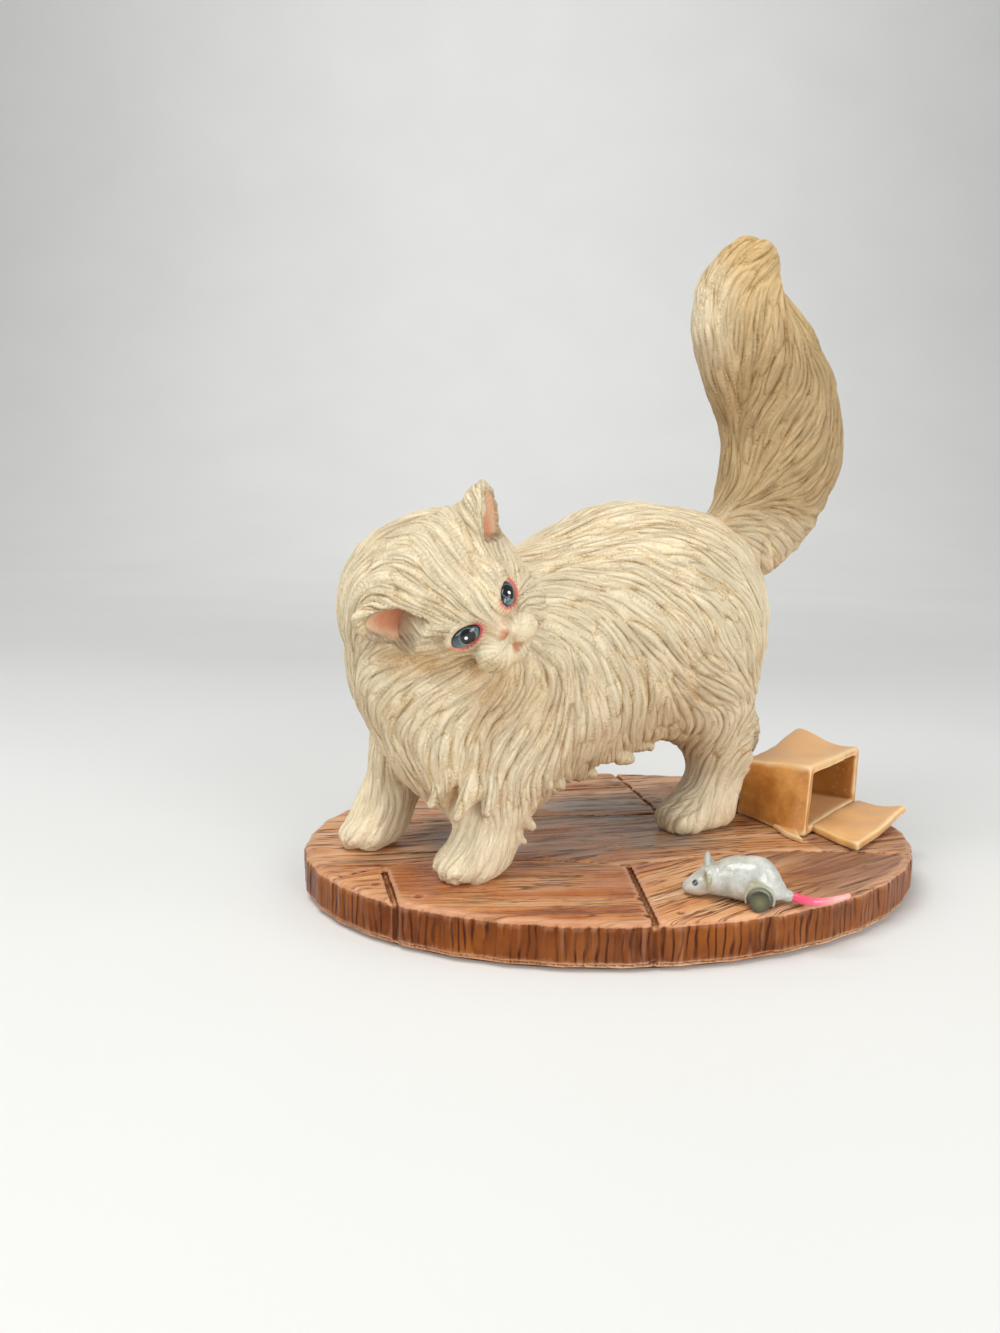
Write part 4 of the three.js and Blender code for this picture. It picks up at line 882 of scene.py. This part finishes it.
# The wash deepens in the creases of each strand size and of the relief, partly as painted shade, and varies with the
# fine hairs and specks.
for source, span in (
    (strands[0], (0.0, 0.34, 0.24, 0.0)), (strands[1], (0.0, 0.36, 0.20, 0.0)), (strands[2], (0.0, 0.5, 0.12, 0.0)),
    (hairs, (0.35, 0.65, 0.20, -0.12)), (speck, (0.3, 0.7, -0.04, 0.04)), (hollow, (0.3, 1.0, 0.0, 0.40)),
):
    part = put("MapRange", {0: source}, span=span, interpolation_type="SMOOTHSTEP")
    wash = put("Math", {0: part, 1: wash}, operation="ADD")
wash = put("Math", {0: wash, 1: furry}, operation="MULTIPLY")
tint = put("ValToRGB", {0: wash}, stops=[(0.0, "#f2e3c3"), (0.20, "#ecdab6"), (0.52, "#d4ba8f"), (0.92, "#a3825a")])
# Painted shade multiplies the cream under the body, in hollows, under the jaw and in the cheek's fold.
tint = put("Mix", {0: warmth, UNDER: tint, OVER: "#dcb98c"}, blend_type="MULTIPLY")
# The tail is tinted tan and paler ochre at its tip; the darker tan along its middle is partly painted shade.
tan = put("Mix", {0: tip, UNDER: "#bfa883", OVER: "#ecd9b8"})
tint = put("Mix", {0: tail, UNDER: tint, OVER: tan}, blend_type="MULTIPLY")
flush = put("ValToRGB", {0: rose}, stops=[(0.5, "#cf8d6b"), (0.62, "#d98974"), (0.78, "#cb6a6c"), (1.0, "#a33c55")])
blush = put("MapRange", {0: rose}, span=(0.0, 0.5))
tint = put("Mix", {0: blush, UNDER: tint, OVER: flush})
relief = put("Math", {0: hairs, 1: 1.3}, operation="MULTIPLY")
for strand, share in zip(strands, (0.7, 0.5, 0.35)):
    part = put("MapRange", {0: strand}, span=(0.0, 0.5, 0.0, share))
    relief = put("Math", {0: part, 1: relief}, operation="ADD")
relief = put("Math", {0: relief, 1: furry}, operation="MULTIPLY")
shine({
    "Base Color": tint, "Roughness": 0.62, "Specular IOR Level": 0.35,
    "Normal": put("Bump", {"Height": relief, "Distance": 0.34 * MM}),
})


def cut_off(name, planes):
    """A closed piece of the coat: what lies behind each plane, given by a point and a normal in the cat's frame."""
    shape = bmesh.new()
    shape.from_mesh(coat.data)
    for spot, facing in planes:
        cut = bmesh.ops.bisect_plane(
            shape, geom=shape.verts[:] + shape.edges[:] + shape.faces[:], plane_co=CAT_PLACE @ Vector(spot) * MM,
            plane_no=CAT_PLACE.to_3x3() @ Vector(facing), clear_outer=True, dist=1e-9,
        )["geom_cut"]
        rim = [e for e in cut if isinstance(e, bmesh.types.BMEdge) and e.is_boundary]
        for face in bmesh.ops.edgeloop_fill(shape, edges=rim)["faces"]:
            face.smooth = False
        for edge in rim:
            edge.smooth = False
    return hold(shape, name)


# The planes between the pieces: across the breast, the loin, the neck and the root of the tail.
BREAST = ((22, 0, 0), (1, 0, 0))
LOIN = ((54, 0, 0), (1, 0, 0))
COLLAR = ((5, -12, 44), (-0.3, -0.2, 0.93))
RUMP = ((84, 0, 70), (0.75, 0, 0.66))
for name, node, planes in (
    ("cat_chest_fur", "cat_body", (BREAST, COLLAR)),
    ("cat_flank_fur", "cat_body", ((BREAST[0], (-1, 0, 0)), LOIN)),
    ("cat_rump_fur", "cat_body", ((LOIN[0], (-1, 0, 0)), RUMP)),
    ("cat_head_fur", "cat_head", (BREAST, (COLLAR[0], (0.3, 0.2, -0.93)))),
    ("cat_tail_fur", "cat_tail", ((RUMP[0], (-0.75, 0, -0.66)),)),
):
    settle(cut_off(name, planes), node, coat_paint, node)
bpy.data.objects.remove(coat)

# Eyes: two domed ovals that the painter finished by hand and varnished: a blue-grey iris with a thin dark outline,
# darker at its top as painted shade of the lid, a round black pupil and a white dot for the light.
LEFT_GAZE, RIGHT_GAZE = (-0.35, 0.35), (0.35, -0.1)
PUPIL_RADIUS, DOT_RADIUS, DOT_SPOT = 1.62, 0.38, (-0.42, 0.0, 0.12)
# Gloss varnish over acrylic: smooth and wet, with one sharp highlight.
iris, _ = start("varnished_eye_paint")
spot, gaze = (put("Attribute", out="Vector", attribute_name=name) for name in ("spot", "gaze"))
edge = put("Attribute", out="Fac", attribute_name="edge")
from_pupil = put("VectorMath", {0: gaze}, 1, operation="LENGTH")
cloudy = put("TexNoise", {"Vector": spot, "Scale": 1.4, "Detail": 3.0})
# The iris darkens towards its top as painted shade of the lid, and is clouded.
tone = put("MapRange", {0: put("SeparateXYZ", {0: spot}, "Z")}, span=(-2.0, 1.8))
tone = put("Math", {0: tone, 1: put("Math", {0: cloudy, 1: 0.4}, operation="MULTIPLY")}, operation="ADD")
tint = put("ValToRGB", {0: tone}, stops=[(0.25, "#7f988c"), (0.6, "#4e696d"), (1.0, "#26343a")])
ring = put("MapRange", {0: from_pupil}, span=(1.95, 1.6, 0.0, 0.35))
tint = put("Mix", {0: ring, UNDER: tint, OVER: "#86a097"})
pupil = put("MapRange", {0: from_pupil}, span=(PUPIL_RADIUS, 1.5))
tint = put("Mix", {0: pupil, UNDER: tint, OVER: "#0b0b0c"})
outline = put("MapRange", {0: edge}, span=(0.86, 0.94))
tint = put("Mix", {0: outline, UNDER: tint, OVER: "#171a22"})
dot = put("VectorMath", {0: gaze, 1: DOT_SPOT}, 1, operation="DISTANCE")
dot = put("MapRange", {0: dot}, span=(DOT_RADIUS, 0.28))
tint = put("Mix", {0: dot, UNDER: tint, OVER: "#f2f4f2"})
shine({"Base Color": tint, "Roughness": 0.12, "Coat Weight": 0.35, "Coat Roughness": 0.06})
for node, eye, gaze in (("eye_left", EYES[0], LEFT_GAZE), ("eye_right", EYES[1], RIGHT_GAZE)):
    ball = bmesh.new()
    bmesh.ops.create_uvsphere(
        ball, u_segments=64, v_segments=40, radius=1, matrix=Matrix.Rotation(math.pi / 2, 4, "X"),
    )
    local = np.array([v.co for v in ball.verts]) * EYE_HALF
    ball.transform(Matrix.Scale(MM, 4) @ HEAD_PLACE @ eye @ Matrix.Diagonal((*EYE_HALF, 1)))
    bmesh.ops.recalc_face_normals(ball, faces=ball.faces)
    for face in ball.faces:
        face.smooth = True
    piece = hold(ball, node + "_ball")
    flat = local * (1, 0, 1) - (gaze[0], 0, gaze[1])
    stamp(
        piece.data, spot=local, gaze=flat + np.maximum(local[:, 1:2], 0) * (0, 9, 0),
        edge=np.linalg.norm(local[:, (0, 2)] / LID_HALF, axis=1),
    )
    settle(piece, "eye", iris, node)

# Pins: steel dowels that are cast into the paws, the neck and the tail, and glued into bores on assembly. The
# toy's axle is a wire of the same steel.
PINS = (
    "paw_pin_near_front", "paw_pin_far_front", "paw_pin_near_hind", "paw_pin_far_hind", "neck_pin", "tail_pin",
    "mouse_axle",
)
# Bright steel, drawn through a die, with fine scratches along the height.
steel, place = start("drawn_steel_wire")
drawn = put("Mapping", {"Vector": place, "Scale": (1, 1, 0.1)})
scratch = put("TexNoise", {"Vector": drawn, "Scale": 4000.0, "Detail": 2.0})
tint = put("Mix", {0: scratch, UNDER: "#85868a", OVER: "#a9abae"})
worn = put("MapRange", {0: scratch}, span=(0.0, 1.0, 0.25, 0.5))
shine({"Base Color": tint, "Metallic": 1.0, "Roughness": worn})
for node in PINS:
    settle(flat_copy(node + "_steel", node, 0.15), "pin_steel", steel, node)

# Carton and its two flaps: resin, carved as soft corrugated board that was crushed out of square. Its walls
# bulge and its back corner is pulled up. The paint is a mottled ochre, rubbed pale along every edge.
CARTON_PLACE = stand((48.6, -9.6, BOARD_TOP), Z=35.7)
CARTON_VOXEL, FLAP_VOXEL = 0.34, 0.28
MOUTH_WIDE, MOUTH_HIGH, MOUTH_SKEW, ROOM_LONG = 32, 17, 0.167, 15.6
CORNER_LIFT, FLAP_CURL = 3.0, 1.7
# Acrylic, satin where it was handled, with dust in it and rubbed arrises. Painted shade darkens the inside and the
# creases, and painted light makes the tops paler.
card, place = start("ochre_acrylic_on_resin")
crest, upper, inner = (put("Attribute", out="Fac", attribute_name=name) for name in ("crest", "upper", "inner"))
mottle = put("TexNoise", {"Vector": place, "Scale": 130.0, "Detail": 4.0, "Roughness": 0.55})
fine = put("TexNoise", {"Vector": place, "Scale": 900.0, "Detail": 3.0})
ochres = [(0.32, "#b27230"), (0.48, "#c88942"), (0.62, "#d89c50"), (0.75, "#e4b064")]
tint = put("ValToRGB", {0: mottle}, stops=ochres)
# Over the ochre: painted light on the tops, painted shade inside, dust specks, pale rubbed arrises and painted shade
# in the creases.
for share, colour in (
    (upper, "#f7c68e"), (put("Math", {0: inner, 1: 0.62}, operation="MULTIPLY"), "#83501f"),
    (put("MapRange", {0: fine}, span=(0.60, 0.72, 0.0, 0.25)), "#e3c391"),
    (put("MapRange", {0: crest}, span=(0.18, 0.85, 0.0, 0.85)), "#ecd0a0"),
    (put("MapRange", {0: crest}, span=(-0.2, -0.9, 0.0, 0.6)), "#7a4a20"),
):
    tint = put("Mix", {0: share, UNDER: tint, OVER: colour})
shine({
    "Base Color": tint, "Roughness": put("MapRange", {0: mottle}, span=(0.3, 0.7, 0.36, 0.52)),
    "Specular IOR Level": 0.4, "Normal": put("Bump", {"Height": fine, "Distance": 0.05 * MM, "Strength": 0.6}),
})
# Each piece: its name, its node, its voxel, how often it is eased, and how much painted light its tops get.
for name, node, voxel, rounds, pale in (
    ("carton_shell", "carton_box", CARTON_VOXEL, 8, 0.75),
    ("carton_near_flap", "carton_front_flap", FLAP_VOXEL, 8, 0.55),
    ("carton_bottom_flap", "carton_side_flap", FLAP_VOXEL, 4, 0.55),
):
    piece = clay(name, {node: 0}, voxel)
    pairs = edges_of(piece.data)
    points = eased(points_of(piece.data), pairs, rounds)
    write_points(piece.data, points)
    normals = normals_of(piece.data)
    across, along, up = placed(CARTON_PLACE.inverted(), points).T
    turned = CARTON_PLACE.to_3x3().to_4x4()
    wave = 0.30 * speckle(points, 7.0, 61) + 0.10 * speckle(points, 2.6, 62)
    inside = np.zeros(len(points))
    if node == "carton_box":
        wave *= ramp(up, 0.8, 4)
        points = points + normals * wave[:, None]
        lift = ramp(along, 3, 17) * ramp(across, 8, 28) * ramp(up, 8, 15)
        sag = 0.7 * ramp(up, 12, 16) * np.exp(-(((along - 7) / 5) ** 2)) * ramp(across, 4, 14)
        points[:, 2] += CORNER_LIFT * lift - sag
        dent = np.exp(-((along - 9) / 5) ** 2 - ((up - 9) / 4) ** 2) * (across < 4)
        points += placed(turned, np.array([[0.7, 0, 0]])) * dent[:, None]
        lean = (1 - up / MOUTH_HIGH) * ramp(-across, -30, 0)
        back = ramp(along, 2, 17)
        shove = np.column_stack([lean * (-5.2 + 9 * back), lean * (-1.5 + 5 * back), 0 * lean])
        shove[:, 0] -= 2.2 * ramp(up, 6, 16) * ramp(along, 4, 17) * ramp(-across, -14, 0)
        points += placed(turned, shove)
        skewed = across + MOUTH_SKEW * along
        depth = np.minimum.reduce([skewed, MOUTH_WIDE - across - MOUTH_SKEW * along, up, MOUTH_HIGH - up])
        inside = (depth > 1.2) * ramp(along, 0.3, 3.5) * (along < ROOM_LONG)
    elif node == "carton_front_flap":
        points = points + normals * (wave * 0.6)[:, None]
        points[:, 2] += FLAP_CURL * ramp(-along, 6, 16) * ramp(across, 6, 27) + 0.5 * ramp(-along, 9, 16)
    points[:, 2] = np.maximum(points[:, 2], BOARD_TOP)
    write_points(piece.data, points)
    crest = ((points - eased(points, pairs, 14)) * normals_of(piece.data)).sum(axis=1)
    # Painted light on the upward faces; painted shade inside the carton and in its creases.
    stamp(
        piece.data, crest=np.clip(crest / 0.14, -1, 1), upper=pale * ramp(normals[:, 2], 0.5, 0.9),
        inner=eased(inside.astype(float), pairs, 3) * ramp(-normals[:, 2], -0.8, -0.2),
    )
    settle(piece, "carton", card, node)

# Toy mouse: a white-glazed casting with grey specks, a brown nose, small black eyes and olive-grey ears. It rolls
# on two dark discs, and its tail is a soft pink rod that is glued into its back.
MOUSE_PLACE = stand((9.9, -47.2, BOARD_TOP), Z=-28)
MOUSE_EARS = {-1: (-5.5, -3.3, 4.9), 1: (-6.2, 1.7, 6.9)}
ARCH_X, ARCH_Z, ARCH_RADIUS, ARCH_BEADS = 4.7, 2.3, 2.8, 19
MOUSE_NOSE, EYE_X, EYE_Y, EYE_Z = (-11.4, 0, 1.5), -8.3, 2.4, 3.5
# Glossy white glaze over resin, clouded with grey, with specks a little coarser than the real ones.
glaze, place = start("speckled_white_glaze")
olive, nose, black = (put("Attribute", out="Fac", attribute_name=name) for name in ("olive", "nose", "black"))
cloudy = put("TexNoise", {"Vector": place, "Scale": 240.0, "Detail": 3.0})
grains = put("TexNoise", {"Vector": place, "Scale": 1500.0, "Detail": 3.0, "Roughness": 0.7})
tint = put("ValToRGB", {0: cloudy}, stops=[(0.35, "#a9aca2"), (0.55, "#c5c7bf"), (0.7, "#d6d8d3")])
specks = put("MapRange", {0: grains}, span=(0.60, 0.68, 0.0, 0.55))
for share, colour in ((specks, "#7c8188"), (olive, "#9a9779"), (nose, "#4b2f27"), (black, "#0d0d12")):
    tint = put("Mix", {0: share, UNDER: tint, OVER: colour})
shine({
    "Base Color": tint, "Roughness": 0.22, "Coat Weight": 0.5, "Coat Roughness": 0.12,
    "Normal": put("Bump", {"Height": grains, "Distance": 0.03 * MM}),
})
extra = bmesh.new()
for s in (-1, 1):
    eggs = [
        (MOUSE_EARS[s], (0.9, 2.0, 2.3)), ((4.7, s * 3.7, 3.1), (3.0, 1.1, 2.8)), ((10.2, 0, 1.9), (1.6, 1.4, 1.3)),
        ((-7.8, 0, 2.8), (3.5, 2.9, 2.8)), ((1.6, 0, 4.7), (7.4, 4.5, 4.7)),
    ]
    for k in range(ARCH_BEADS):
        lap = math.radians(-20 + k * 220 / 18)
        bead = (ARCH_X + ARCH_RADIUS * math.cos(lap), s * 4.75, ARCH_Z + ARCH_RADIUS * math.sin(lap))
        eggs.append((bead, (0.4, 0.6, 0.4)))
    for centre, radii in eggs:
        spot = MOUSE_PLACE @ Matrix.Translation(centre) @ Matrix.Diagonal((*radii, 1))
        bmesh.ops.create_uvsphere(extra, u_segments=16, v_segments=12, radius=1, matrix=Matrix.Scale(MM, 4) @ spot)
piece = clay("toy_mouse_body", {"mouse_body": 3, "mouse_axle": 0}, 0.22, 0.2, extra)
points = eased(points_of(piece.data), edges_of(piece.data), 8)
local = placed(MOUSE_PLACE.inverted(), points)
for s, (ear_x, ear_y, ear_z) in MOUSE_EARS.items():
    cup = 1 - ((local[:, 1] - ear_y - 0.2 * s) / 1.2) ** 2 - ((local[:, 2] - ear_z - 0.2) / 1.3) ** 2
    local[:, 0] += 0.8 * (np.clip(cup, 0, 1) * (local[:, 0] < ear_x) * (local[:, 0] > -9))
local[:, 2] *= 1 - 0.42 * ramp(-local[:, 0], 7.2, 11.2)
points = placed(MOUSE_PLACE, local)
points[:, 2] = np.maximum(points[:, 2], BOARD_TOP + 0.05)
write_points(piece.data, points)
in_ear, eye = np.zeros((2, len(points)))
for s, (ear_x, ear_y, ear_z) in MOUSE_EARS.items():
    cup = 1 - ((local[:, 1] - ear_y - 0.2 * s) / 1.3) ** 2 - ((local[:, 2] - ear_z - 0.2) / 1.4) ** 2
    in_ear = np.maximum(in_ear, ramp(cup, 0.05, 0.4) * (local[:, 0] < ear_x + 0.4))
    eye = np.maximum(eye, 1 - ramp(off(local, (EYE_X, s * EYE_Y, EYE_Z)), 0.5, 0.8))
arch = ramp(np.abs(local[:, 1]), 4.3, 4.7) * ramp(np.hypot(local[:, 0] - ARCH_X, local[:, 2] - ARCH_Z), 2.0, 2.3)
stamp(
    piece.data, olive=np.maximum(in_ear, 0.8 * arch), nose=1 - ramp(off(local, MOUSE_NOSE), 0.7, 1.1), black=eye,
)
settle(piece, "mouse_body", glaze, "mouse_body")

# Pink paint under a thin gloss, deeper at the root of the tail and paler at its tip.
rubber, place = start("pink_tail_paint")
run = put("Attribute", out="Fac", attribute_name="run")
cloudy = put("TexNoise", {"Vector": place, "Scale": 350.0, "Detail": 2.0})
tone = put("Math", {0: run, 1: put("Math", {0: cloudy, 1: 0.4}, operation="MULTIPLY")}, operation="ADD")
tint = put("ValToRGB", {0: tone}, stops=[(0.2, "#e0486a"), (0.65, "#ea6a80"), (1.0, "#f2aaa4")])
shine({"Base Color": tint, "Roughness": 0.28, "Coat Weight": 0.4})
piece = clay("toy_mouse_tail", {"mouse_tail": 1}, 0.2, 0.12)
points = eased(points_of(piece.data), edges_of(piece.data), 6)
far = placed(MOUSE_PLACE.inverted(), points)[:, 0]
write_points(piece.data, points - normals_of(piece.data) * 0.45 * ramp(far, 13, 23)[:, None])
stamp(piece.data, run=ramp(far, 11, 23))
settle(piece, "mouse_tail", rubber, "mouse_tail")

# Dark olive enamel, wet and smooth, with a paler hub.
disc, place = start("olive_wheel_paint")
hub = put("Attribute", out="Fac", attribute_name="hub")
cloudy = put("TexNoise", {"Vector": place, "Scale": 700.0, "Detail": 3.0})
tint = put("Mix", {0: cloudy, UNDER: "#242310", OVER: "#464422"})
tint = put("Mix", {0: hub, UNDER: tint, OVER: "#6f6a3f"})
shine({"Base Color": tint, "Roughness": 0.16, "Coat Weight": 0.8})
for node in ("mouse_wheel_near", "mouse_wheel_far"):
    piece = flat_copy(node + "_disc", node, 0.3)
    local = placed(MOUSE_PLACE.inverted(), points_of(piece.data))
    stamp(piece.data, hub=1 - ramp(np.hypot(local[:, 0] - 4.7, local[:, 2] - 2.1), 0.5, 0.9))
    settle(piece, "mouse_wheel", disc, node)
